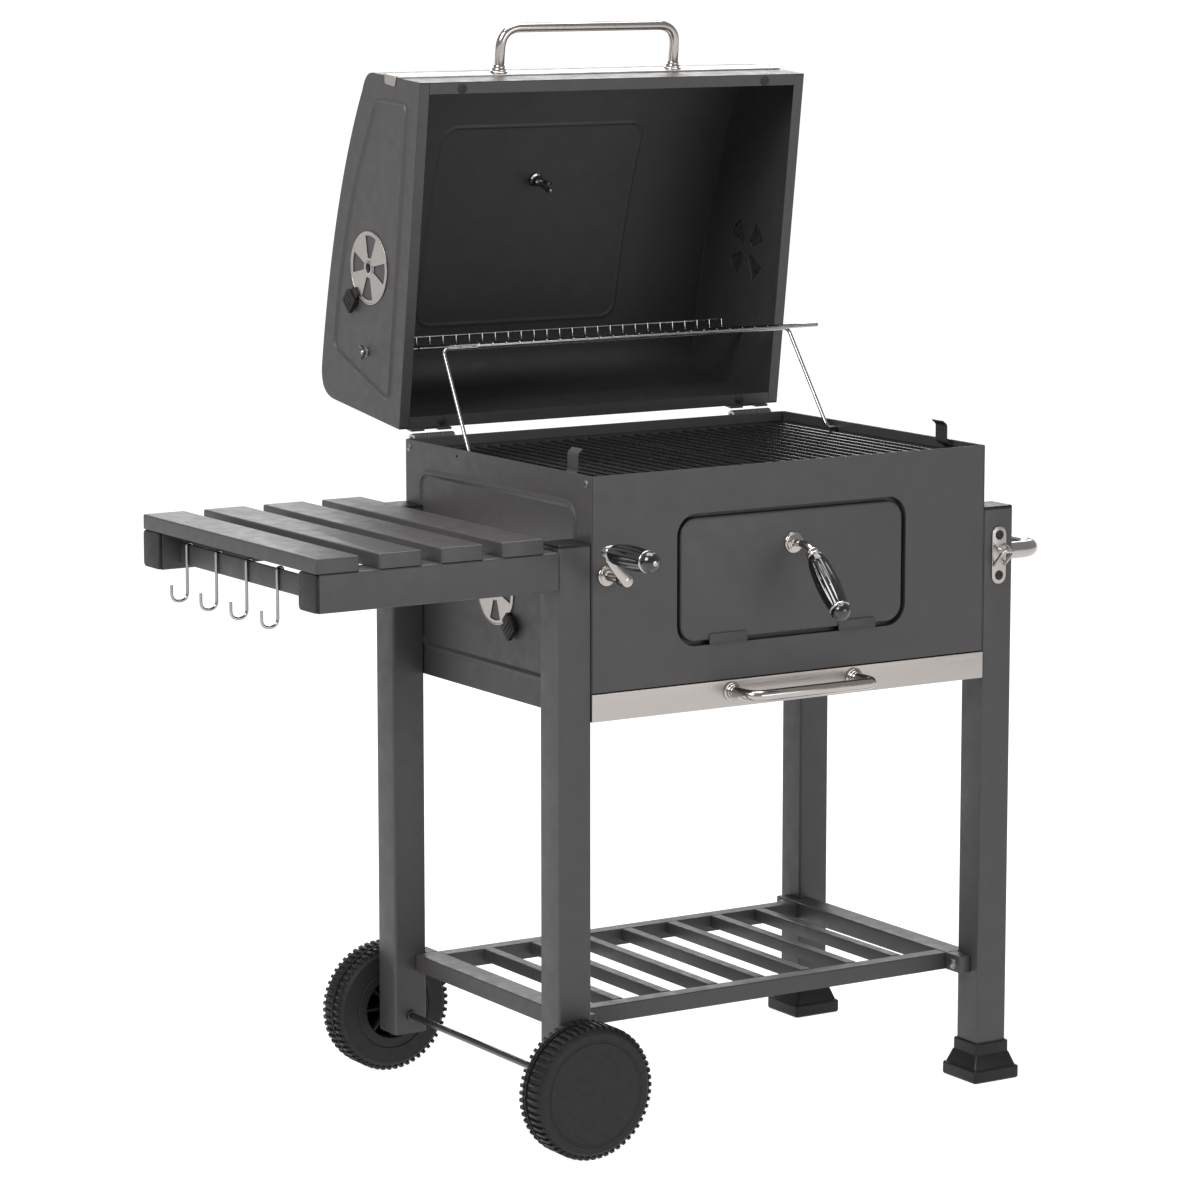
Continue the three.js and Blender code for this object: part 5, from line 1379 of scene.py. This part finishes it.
class CART_OT_lid_hinges(Operator):
    """Make the two lid hinges: leaves, knuckles, pins and bolts"""

    bl_idname = "cart.lid_hinges"
    bl_label = "Lid hinges"

    def execute(self, context):
        s = sizes()
        inset, width, knuckle, leaf = 0.047, 0.060, 0.008, 0.003
        back = REAR_Y - LID_HINGE.y + s.gap
        for side, word in SIDES:
            x = side * (HALF_WIDTH - inset)
            third = width / 6 - s.gap
            at_hinge = Matrix.Translation(LID_HINGE)
            bm = bmesh.new()
            outline = shrinking(x - width / 2, x + width / 2, -0.042, -0.009, 0.006, 5)
            add_block(bm, outline, on_y(back, 1), 0, leaf, 0.0007)
            add_box(bm, (x - third, x + third), (back, 0.0), (-0.012, -0.003))
            self.knuckle(bm, x - third, x + third, knuckle)
            add_tube(bm, [Vector((x - width / 2 - 0.0008, 0, 0)),
                          Vector((x + width / 2 + 0.0008, 0, 0))], 0.0029, 16, 1)
            for spread in (-0.018, 0.018):
                add_bolt(bm, along((x + spread, back + leaf, -0.029), (0, 1, 0)), 0.0045, 1,
                         painted_slot_shade=False)
            piece(f"hinge_leaf_fixed_{word}", bm, "cart",
                  [powder_coated_steel, zinc_plated_steel], [f"hinge_fixed_{word}"], edge=0.0003,
                  turn=at_hinge)
            bm = bmesh.new()
            low, high = lid_z(0.004), lid_z(0.038)
            outline = shrinking(x - width / 2, x + width / 2, low, high, 0.006, 5)
            add_block(bm, outline, on_y(back, 1), 0, leaf, 0.0007)
            for end in (-1, 1):
                a, b = sorted((x + end * width / 6 + end * s.gap, x + end * width / 2))
                self.knuckle(bm, a, b, knuckle, 0.0034)
                add_box(bm, (a, b), (back, back + leaf), (0.003, low + 0.006))
                face = b if end > 0 else a
                add_lathe(bm, [(0.0062, -0.0004), (0.0078, -0.0002), (0.0078, 0.0008),
                               (0.0062, 0.0010), (0.0042, 0.0008), (0.0042, -0.0004)],
                          along((face, 0, 0), (end, 0, 0)), 24, 1, closed=True)
            for spread in (-0.018, 0.018):
                add_bolt(bm, along((x + spread, back + leaf, (low + high) / 2), (0, 1, 0)), 0.0045,
                         1, painted_slot_shade=False)
            piece(f"hinge_leaf_lid_{word}", bm, "lid",
                  [powder_coated_steel, polished_stainless], [f"hinge_lid_{word}"], edge=0.0003,
                  turn=LID_TURN)
        return {"FINISHED"}

    def knuckle(self, bm, start, end, radius, bore=0.0):
        span = end - start
        profile = [(bore, 0.0), (radius - 0.0008, 0.0), (radius, 0.0008), (radius, span - 0.0008),
                   (radius - 0.0008, span), (bore, span)]
        add_lathe(bm, profile, along((start, 0, 0), (1, 0, 0)), 28, closed=bore > 0)


# ---- warming rack --------------------------------------------------------------------------------

RACK_TILT = math.radians(6.1)
RACK_TURN = Matrix.Translation(RACK_PIVOT) @ Matrix.Rotation(-RACK_TILT, 4, "X")
RACK_DEPTH, RACK_RISER, RACK_DECK = 0.227, 0.015, 0.0025


class CART_OT_warming_rack(Operator):
    """Make the chromed warming rack, the bail under it and the nuts of its pivot rod"""

    bl_idname = "cart.warming_rack"
    bl_label = "Warming rack and bail"

    def execute(self, context):
        s, n = sizes(), counts()
        half = HALF_WIDTH - 0.034
        bm = bmesh.new()
        rod = s.rack_rod
        add_tube(bm, [Vector((-HALF_WIDTH - 0.009, 0, 0)), Vector((HALF_WIDTH + 0.009, 0, 0))],
                 0.0024, 14)
        for y, z in ((-RACK_DEPTH, RACK_DECK - rod), (-RACK_DEPTH / 3, RACK_DECK - rod),
                     (rod, RACK_RISER)):
            add_tube(bm, [Vector((-half, y, z)), Vector((half, y, z))], rod, 12)
        for i in range(n.rack_wires):
            x = -half + s.rack_wire + 2 * (half - s.rack_wire) * i / (n.rack_wires - 1)
            add_tube(bm, bent([(x, -RACK_DEPTH - 0.0022, RACK_DECK + 0.0004),
                               (x, 0.0006, RACK_DECK + 0.0004), (x, 0.0006, RACK_RISER + 0.001)],
                              0.004, 4), s.rack_wire, 8)
        piece("warming_rack_wires", bm, "rack", [chrome_plated_wire],
              ["warming_rack"], turn=RACK_TURN)
        bm = bmesh.new()
        for side in (-1, 1):
            face = Vector((side * (HALF_WIDTH + 0.0006), 0, 0))
            add_lathe(bm, [(0.0026, 0.0), (0.0062, 0.0), (0.0062, 0.0010), (0.0026, 0.0010)],
                      along(face, (side, 0, 0)), 20, closed=True)
            add_wing_nut(bm, along(face + Vector((side * 0.001, 0, 0)), (side, 0, 0),
                                   math.radians(90)), 0.0085)
        piece("rack_pivot_nuts", bm, "rack", [zinc_plated_steel], turn=RACK_TURN)
        self.bail()
        return {"FINISHED"}

    def bail(self):
        low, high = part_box("rack_bail")
        radius = 0.0024
        bar = RACK_TURN @ Vector((0, -0.149, RACK_DECK - 0.0009 - 0.0025 - 0.0003))
        outer, ear, top = HALF_WIDTH, HALF_WIDTH - 0.019, HALF_WIDTH - 0.028
        y, z = BAIL_FOOT.y, BAIL_FOOT.z
        path = [(MID_X - outer, y, z), (MID_X - ear, y, z), (MID_X - top, bar.y, bar.z),
                (MID_X + top, bar.y, bar.z), (MID_X + ear, y, z), (MID_X + outer, y, z)]
        bm = bmesh.new()
        add_tube(bm, bent(path, 0.008, 8), radius, 14)
        piece("rack_bail_wire", bm, "bail", [chrome_plated_wire], ["rack_bail"])


# ---- legs, feet and wheels ---------------------------------------------------------------------------


class CART_OT_legs(Operator):
    """Make the four tube legs with their caps, and the two feet"""

    bl_idname = "cart.legs"
    bl_label = "Legs and feet"

    def execute(self, context):
        s = sizes()
        wall = 0.0015
        for _, end in ENDS:
            for side, word in SIDES:
                name = f"leg_{end}_{word}"
                low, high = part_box(name)
                outer = shrinking(low.x, high.x, low.y, high.y, s.leg_radius, 5)
                bm = bmesh.new()
                add_ring(bm, outer(0), outer(wall), on_z(0), low.z, high.z)
                piece(f"{name}_tube", bm, "cart", [powder_coated_steel], [name],
                      edge=0.0003)
                bm = bmesh.new()
                add_block(bm, lambda inset: outer(inset + 0.0002), on_z(high.z), 0.0002,
                          s.cap_rise, 0.0016)
                add_block(bm, lambda inset: outer(inset + wall + 0.0002), on_z(high.z), -0.015,
                          0.001, 0.0002)
                piece(f"{name}_cap", bm, "cart", [moulded_plastic])
        for _, end in ENDS:
            self.foot(end)
        return {"FINISHED"}

    def foot(self, end):
        """A moulded foot: base block, ledge, sloping skirt, and a collar round the leg."""
        low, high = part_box(f"foot_{end}")
        leg_low, leg_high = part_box(f"leg_{end}_right")
        centre = (low + high) / 2
        half = (high.x - low.x) / 2
        tube = (leg_high.x - leg_low.x) / 2
        steps = ((half - 0.0015, 0.0, 0.003), (half, 0.002, 0.004), (half, 0.0150, 0.004),
                 (half - 0.0012, 0.0168, 0.004), (half - 0.003, 0.0172, 0.004),
                 (tube + 0.0042, 0.0335, 0.004), (tube + 0.003, 0.0350, 0.004),
                 (tube + 0.003, 0.0486, 0.004), (tube + 0.0018, 0.0500, 0.003),
                 (tube + 0.0003, 0.0500, 0.003), (tube + 0.0003, 0.0377, 0.003))
        bm = bmesh.new()
        add_loops(bm, [[Vector((*(centre.xy + point), z)) for point in
                        rounded(-h, h, -h, h, r, 4)] for h, z, r in steps])
        piece(f"foot_{end}_moulding", bm, "cart", [moulded_plastic],
              [f"foot_{end}"], smooth=28)


AXLE_COVER = 0.003  # what a wheel's outer face leaves over the axle's end


class CART_OT_wheels(Operator):
    """Make the two wheels with their lugs and ribs, and the axle with its caps"""

    bl_idname = "cart.wheels"
    bl_label = "Wheels and axle"

    def execute(self, context):
        s = sizes()
        for side, end in ENDS:
            self.wheel(side, end)
        low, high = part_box("wheel_axle")
        centre = (low + high) / 2
        radius = (high.z - low.z) / 2
        bm = bmesh.new()
        ends = (low.y + AXLE_COVER + s.gap, high.y - AXLE_COVER - s.gap)
        add_tube(bm, [Vector((centre.x, y, centre.z)) for y in ends], radius, 24)
        for side, end in ENDS:
            leg_low, leg_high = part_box(f"leg_{end}_left")
            inner = leg_high.y if side < 0 else leg_low.y
            add_lathe(bm, [(radius * 0.9, 0.0004), (radius * 1.5, 0.0004), (radius * 1.6, 0.0010),
                           (radius * 1.6, 0.0040), (radius * 1.4, 0.0048), (radius * 0.9, 0.0048)],
                      along((centre.x, inner, centre.z), (0, -side, 0)), 28, closed=True)
        piece("wheel_axle_rod", bm, "cart", [glassy_enamel],
              ["wheel_axle"])
        return {"FINISHED"}

    def wheel(self, side, end):
        s = sizes()
        low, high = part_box(f"wheel_{end}")
        centre = Vector(JOINTS[f"{end}_wheel_roll"]["pos_m"])
        inner_face = high.y if side < 0 else low.y
        width, tyre = high.y - low.y, (high.z - low.z) / 2
        base, rim, hub, bore, web = tyre - s.tread_depth, tyre * 0.47, 0.015, 0.005, 0.006
        place = along((centre.x, inner_face, centre.z), (0, side, 0))
        deep = width - web
        profile = [(0.0, width - AXLE_COVER), (bore, width - AXLE_COVER), (bore, 0.001),
                   (hub - 0.001, 0.001), (hub, 0.002), (hub + 0.0008, deep),
                   (rim - 0.001, deep), (rim, 0.001), (rim + 0.001, 0.0),
                   (rim * 1.30, 0.0), (rim * 1.33, 0.0008), (rim * 1.36, 0.0), (base - 0.006, 0.0),
                   (base - 0.001, 0.004), (base, 0.009), (base, width - 0.009),
                   (base - 0.001, width - 0.004), (base - 0.006, width - 0.0004),
                   (tyre * 0.80, width - 0.0004), (tyre * 0.79, width - 0.0012),
                   (tyre * 0.76, width - 0.0014), (tyre * 0.75, width - 0.0006),
                   (tyre * 0.40, width), (0.0, width)]
        bm = bmesh.new()
        add_lathe(bm, profile, place, 96)
        for k in range(8):
            turn = Matrix.Rotation(2 * math.pi * k / 8, 3, "Z")
            spoke = lambda u, v, w=0.0: place(*(turn @ Vector((u, v, w))))
            outline = shrinking(hub - 0.001, rim + 0.001, -0.0015, 0.0015, 0.0004, 1)
            add_block(bm, outline, lambda u, v, w=0.0: spoke(u, v, deep + 0.0005 - w), 0.0,
                      deep - 0.004, 0.0006)
        lugs, pitch = counts().tread_lugs, 2 * math.pi / counts().tread_lugs
        rib, edge = width * 0.36, 0.0025
        add_lathe(bm, [(base - 0.001, rib - 0.0011), (tyre - 0.0006, rib - 0.0007),
                       (tyre - 0.0006, rib + 0.0007), (base - 0.001, rib + 0.0011)],
                  place, 96, closed=True)
        for near, far, shift in ((edge, rib - 0.0035, 0.5), (rib + 0.0035, width - edge, 0.0)):
            for k in range(lugs):
                self.lug(bm, place, pitch * (k + shift), pitch * 0.27, (near + far) / 2,
                         (far - near) / 2, base - 0.001, tyre)
        piece(f"wheel_{end}_moulding", bm, f"{end}_wheel", [blown_polyethylene],
              [f"wheel_{end}"], smooth=32)

    def lug(self, bm, place, turn, half_turn, middle, half, low, high):
        """One block of the tread, narrower at its top, following the wheel's curve."""
        loops = []
        for radius, share in ((low, 1.0), (high - 0.0009, 0.84), (high, 0.66)):
            ring = []
            for u, v in ((-1, -1), (0, -1), (1, -1), (1, 1), (0, 1), (-1, 1)):
                angle = turn + half_turn * share * u
                ring.append(place(radius * math.cos(angle), radius * math.sin(angle),
                                  middle + half * share * v))
            loops.append(ring)
        add_loops(bm, loops)


# ---- shelf, table and handles -----------------------------------------------------------------------


class CART_OT_shelf(Operator):
    """Make the bottom shelf: four folded channels, their tabs and bolts, and the slats"""

    bl_idname = "cart.shelf"
    bl_label = "Bottom shelf"

    def execute(self, context):
        s = sizes()
        low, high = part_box("shelf_frame")
        slat_low, slat_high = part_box("shelf_slat_1")
        _, leg_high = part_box("leg_front_left")
        front = leg_high.y + s.gap
        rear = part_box("leg_rear_left")[0].y - s.gap
        depth, inner = high.z - low.z, 0.034
        bar = slat_low.y - s.gap - front
        bm = bmesh.new()
        top = on_z(high.z)
        for x in ((low.x, low.x + inner), (high.x - inner, high.x)):
            add_pan(bm, shrinking(x[0], x[1], front, rear, 0.002, 3), top, depth, s.sheet, 0.002)
        for y in ((front, front + bar), (rear - bar, rear)):
            add_pan(bm, shrinking(low.x + inner - 0.0006, high.x - inner + 0.0006, y[0], y[1],
                                  0.0012, 3),
                    lambda u, v, w=0.0: top(u, v, w - 0.0003), depth - 0.0006, s.sheet, 0.002)
        for side, word in SIDES:
            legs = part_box(f"leg_front_{word}")
            face = legs[1].x if side < 0 else legs[0].x
            x = sorted((face - side * s.gap, (low.x + inner) if side < 0 else (high.x - inner)))
            for y in ((low.y, front + 0.0006), (rear - 0.0006, high.y)):
                add_pan(bm, shrinking(x[0], x[1], y[0], y[1], 0.002, 3), top, depth, s.sheet,
                        0.002)
                spot = Vector((x[1] if side < 0 else x[0], sum(y) / 2, high.z - depth * 0.5))
                add_bolt(bm, along(spot, (-side, 0, 0)), s.bolt_head, 1, painted_slot_shade=False)
        piece("shelf_channels", bm, "cart",
              [powder_coated_steel, zinc_plated_steel], ["shelf_frame"])
        slats = [name for name in frame["nodes"] if name.startswith("shelf_slat_")]
        for name in sorted(slats):
            low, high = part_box(name)
            bm = bmesh.new()
            add_pan(bm, shrinking(low.x, high.x, low.y, high.y, 0.0008, 2), on_z(high.z),
                    high.z - low.z, s.sheet, 0.0018)
            piece(f"{name}_channel", bm, "cart", [powder_coated_steel], [name])
        return {"FINISHED"}


class CART_OT_side_table(Operator):
    """Make the side table: beams with end caps, folded boards, the hook rail and its hooks"""

    bl_idname = "cart.side_table"
    bl_label = "Side table"

    def execute(self, context):
        s = sizes()
        for _, end in ENDS:
            name = f"table_beam_{end}"
            low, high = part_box(name)
            cap = s.cap_rise
            outer = shrinking(low.y, high.y, low.z, high.z, 0.003, 4)
            bm = bmesh.new()
            add_ring(bm, outer(0), outer(s.sheet), on_x(0), low.x + cap + s.gap, high.x)
            piece(f"{name}_tube", bm, "cart", [powder_coated_steel], [name],
                  edge=0.0003)
            bm = bmesh.new()
            face = on_x(low.x + cap, -1)
            plate = shrinking(low.y + 0.0004, high.y - 0.0004, low.z + 0.0004, high.z - 0.0004,
                              0.006, 5)
            add_block(bm, plate, face, 0.0, cap, 0.0016)
            add_block(bm, lambda inset: outer(inset + s.sheet + 0.0002), face, -0.014, 0.001,
                      0.0002)
            piece(f"{name}_cap", bm, "cart", [moulded_plastic])
        for name in sorted(n for n in frame["nodes"] if n.startswith("table_board_")):
            low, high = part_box(name)
            bm = bmesh.new()
            add_pan(bm, shrinking(low.x, high.x, low.y, high.y, 0.003, 4), on_z(high.z),
                    high.z - low.z, s.sheet, 0.0022)
            piece(f"{name}_panel", bm, "cart", [powder_coated_steel], [name])
        self.hooks()
        return {"FINISHED"}

    def hooks(self):
        rail_low, rail_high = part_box("table_hook_rail")
        bm = bmesh.new()
        middle = (rail_low.x + rail_high.x) / 2
        add_block(bm, shrinking(rail_low.y, rail_high.y, rail_low.z, rail_high.z, 0.002, 2),
                  on_x(rail_high.x, -1), 0.0, rail_high.x - rail_low.x, 0.0005)
        piece("hook_rail_strip", bm, "cart", [powder_coated_steel],
              ["table_hook_rail"])
        for name in sorted(n for n in frame["nodes"] if n.startswith("table_hook_")):
            if name == "table_hook_rail":
                continue
            low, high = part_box(name)
            y, wire = (low.y + high.y) / 2, 0.002
            inner, tip = high.x - wire, low.x + wire
            top, bottom = high.z - wire, low.z + wire
            outer = rail_low.x - wire - 0.0003
            throat = (outer - tip) * 0.49
            path = bent([(inner, y, top - 0.016), (inner, y, top), (outer, y, top),
                         (outer, y, top - 0.02)], 0.0035, 5)
            path += bent([(outer, y, bottom + 0.024), (outer, y, bottom), (tip, y, bottom),
                          (tip, y, bottom + 0.021)], throat, 10)[1:]
            bm = bmesh.new()
            add_tube(bm, path, wire, 14)
            piece(f"{name}_wire", bm, "cart", [chrome_plated_wire], [name])


class CART_OT_leg_fittings(Operator):
    """Make what is screwed to the right legs: the push handle and the bottle opener"""

    bl_idname = "cart.leg_fittings"
    bl_label = "Push handle and opener"

    def execute(self, context):
        s = sizes()
        low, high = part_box("push_handle")
        radius = s.push_handle_tube
        z, far = (low.z + high.z) / 2, high.x - radius
        ends = (low.y + radius, high.y - radius)
        bm = bmesh.new()
        add_tube(bm, bent([(low.x + 0.001, ends[0], z), (far, ends[0], z), (far, ends[1], z),
                           (low.x + 0.001, ends[1], z)], 0.030, 12), radius, 32)
        for y in ends:
            add_lathe(bm, [(radius * 1.5, 0.0), (radius * 1.5, 0.002), (radius * 1.42, 0.003),
                           (radius * 1.2, 0.0034), (radius * 1.2, 0.007), (radius * 1.08, 0.0085),
                           (radius * 0.95, 0.0085), (radius * 0.95, 0.0)],
                      along((low.x, y, z), (1, 0, 0)), 40, closed=True)
        piece("push_handle_tube", bm, "cart", [polished_stainless],
              ["push_handle"])
        self.opener()
        return {"FINISHED"}

    def opener(self):
        low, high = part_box("bottle_opener")
        x, z, face = (low.x + high.x) / 2, (low.z + high.z) / 2, high.y
        sheet = 0.002
        bm = bmesh.new()
        strip = shrinking(low.x, high.x, low.z, high.z, 0.0105, 10)
        add_block(bm, strip, on_y(face), 0.0, sheet, 0.0006)
        reach = face - low.y - 0.0022
        half = (high.x - low.x) / 2 - 0.0024
        hoop = bent([(x - half, face - sheet * 0.5, z - 0.013), (x - half, face - reach, z + 0.007),
                     (x + half, face - reach, z + 0.007), (x + half, face - sheet * 0.5, z - 0.013)],
                    0.007, 8)
        add_tube(bm, hoop, 0.0021, 16)
        lip = bent([(x - half, face - sheet * 0.5, z + 0.014),
                    (x - half, face - reach * 0.72, z + 0.0085),
                    (x + half, face - reach * 0.72, z + 0.0085),
                    (x + half, face - sheet * 0.5, z + 0.014)], 0.006, 8)
        add_tube(bm, lip, 0.0016, 14)
        piece("bottle_opener_plate", bm, "cart", [stamped_stainless],
              ["bottle_opener"])
        bm = bmesh.new()
        for height in (low.z + 0.011, high.z - 0.011):
            add_bolt(bm, along((x, face - sheet, height), (0, -1, 0)), 0.0050)
        # the plastic second finish is painted shade in the screw heads' cross cuts
        piece("bottle_opener_screws", bm, "cart",
              [moulded_rubber, moulded_plastic])


# ---- stage -----------------------------------------------------------------------------------------


FLOOR_REACH = 120.0  # so far that it fills the picture up to its upper edge


class CART_OT_stage(Operator):
    """Make the pale floor, the soft light and the camera"""

    bl_idname = "cart.stage"
    bl_label = "Stage"

    def execute(self, context):
        stage = context.scene.cart_stage
        bm = bmesh.new()
        bmesh.ops.create_circle(bm, cap_ends=True, segments=96, radius=FLOOR_REACH)
        mesh = bpy.data.meshes.new("studio_floor")
        bm.to_mesh(mesh)
        bm.free()
        mesh.materials.append(finish(studio_paper))
        floor = bpy.data.objects.new("studio_floor", mesh)
        context.scene.collection.objects.link(floor)
        self.light()
        self.camera()
        return {"FINISHED"}

    def light(self):
        """An even pale sky, a big soft key from the left, a low fill, and lights behind and on top."""
        stage = bpy.context.scene.cart_stage
        world = bpy.data.worlds.new("studio_sky")
        world.use_nodes = True
        sky = world.node_tree.nodes["Background"]
        sky.inputs["Color"].default_value = (1.0, 1.0, 1.0, 1.0)
        sky.inputs["Strength"].default_value = stage.sky
        bpy.context.scene.world = world
        lamps = (("key_light", (-3.5, -1.2, 3.5), (2.2, 2.2), stage.key),
                 ("fill_light", (1.2, -4.2, 1.2), (2.6, 1.4), stage.fill),
                 ("back_light", (2.1, 3.4, 2.35), (3.4, 1.6), stage.back),
                 ("top_light", (0.2, 0.2, 3.4), (2.4, 2.4), stage.rim))
        for name, place, size, power in lamps:
            lamp = bpy.data.lights.new(name, "AREA")
            lamp.shape, lamp.size, lamp.size_y = "RECTANGLE", *size
            lamp.energy = power
            holder = bpy.data.objects.new(name, lamp)
            holder.location = place
            aim = Vector((0.05, 0.0, 0.65)) - Vector(place)
            holder.rotation_euler = aim.to_track_quat("-Z", "Y").to_euler()
            bpy.context.scene.collection.objects.link(holder)

    def camera(self):
        stage = bpy.context.scene.cart_stage
        lens = bpy.data.cameras.new("camera")
        lens.lens, lens.sensor_width = stage.focal_length, 36.0
        holder = bpy.data.objects.new("camera", lens)
        holder.location = stage.camera_place
        holder.rotation_euler = (math.pi / 2 - stage.camera_pitch, 0.0, -stage.camera_heading)
        bpy.context.scene.collection.objects.link(holder)
        bpy.context.scene.camera = holder
        bpy.context.scene.view_settings.view_transform = "Standard"


# ---- panel and start -----------------------------------------------------------------------------

MAKERS = (CART_OT_stage, CART_OT_firebox, CART_OT_vents, CART_OT_fire_door, CART_OT_ash_drawer,
          CART_OT_height_crank, CART_OT_grates, CART_OT_lid, CART_OT_lid_fittings,
          CART_OT_lid_hinges, CART_OT_warming_rack, CART_OT_legs, CART_OT_wheels, CART_OT_shelf,
          CART_OT_side_table, CART_OT_leg_fittings)
SETTINGS = {"cart_sizes": CartSizes, "cart_counts": CartCounts, "cart_colours": CartColours,
            "cart_stage": CartStage}


class CART_PT_panel(Panel):
    """Lists what can be made and the sizes and colours it is made with"""

    bl_label = "Grill cart"
    bl_idname = "CART_PT_panel"
    bl_space_type = "VIEW_3D"
    bl_region_type = "UI"
    bl_category = "Grill cart"

    def draw(self, context):
        for maker in MAKERS:
            self.layout.operator(maker.bl_idname)
        for name, group in SETTINGS.items():
            box = self.layout.box()
            for key in group.__annotations__:
                box.prop(getattr(context.scene, name), key)


CLASSES = (*SETTINGS.values(), *MAKERS, CART_PT_panel)


def register():
    for cls in CLASSES:
        bpy.utils.register_class(cls)
    for name, group in SETTINGS.items():
        setattr(bpy.types.Scene, name, PointerProperty(type=group))


def unregister():
    for name in SETTINGS:
        delattr(bpy.types.Scene, name)
    for cls in reversed(CLASSES):
        bpy.utils.unregister_class(cls)


def main():
    register()
    for maker in MAKERS:
        group, name = maker.bl_idname.split(".")
        getattr(getattr(bpy.ops, group), name)()


if __name__ == "__main__":
    main()
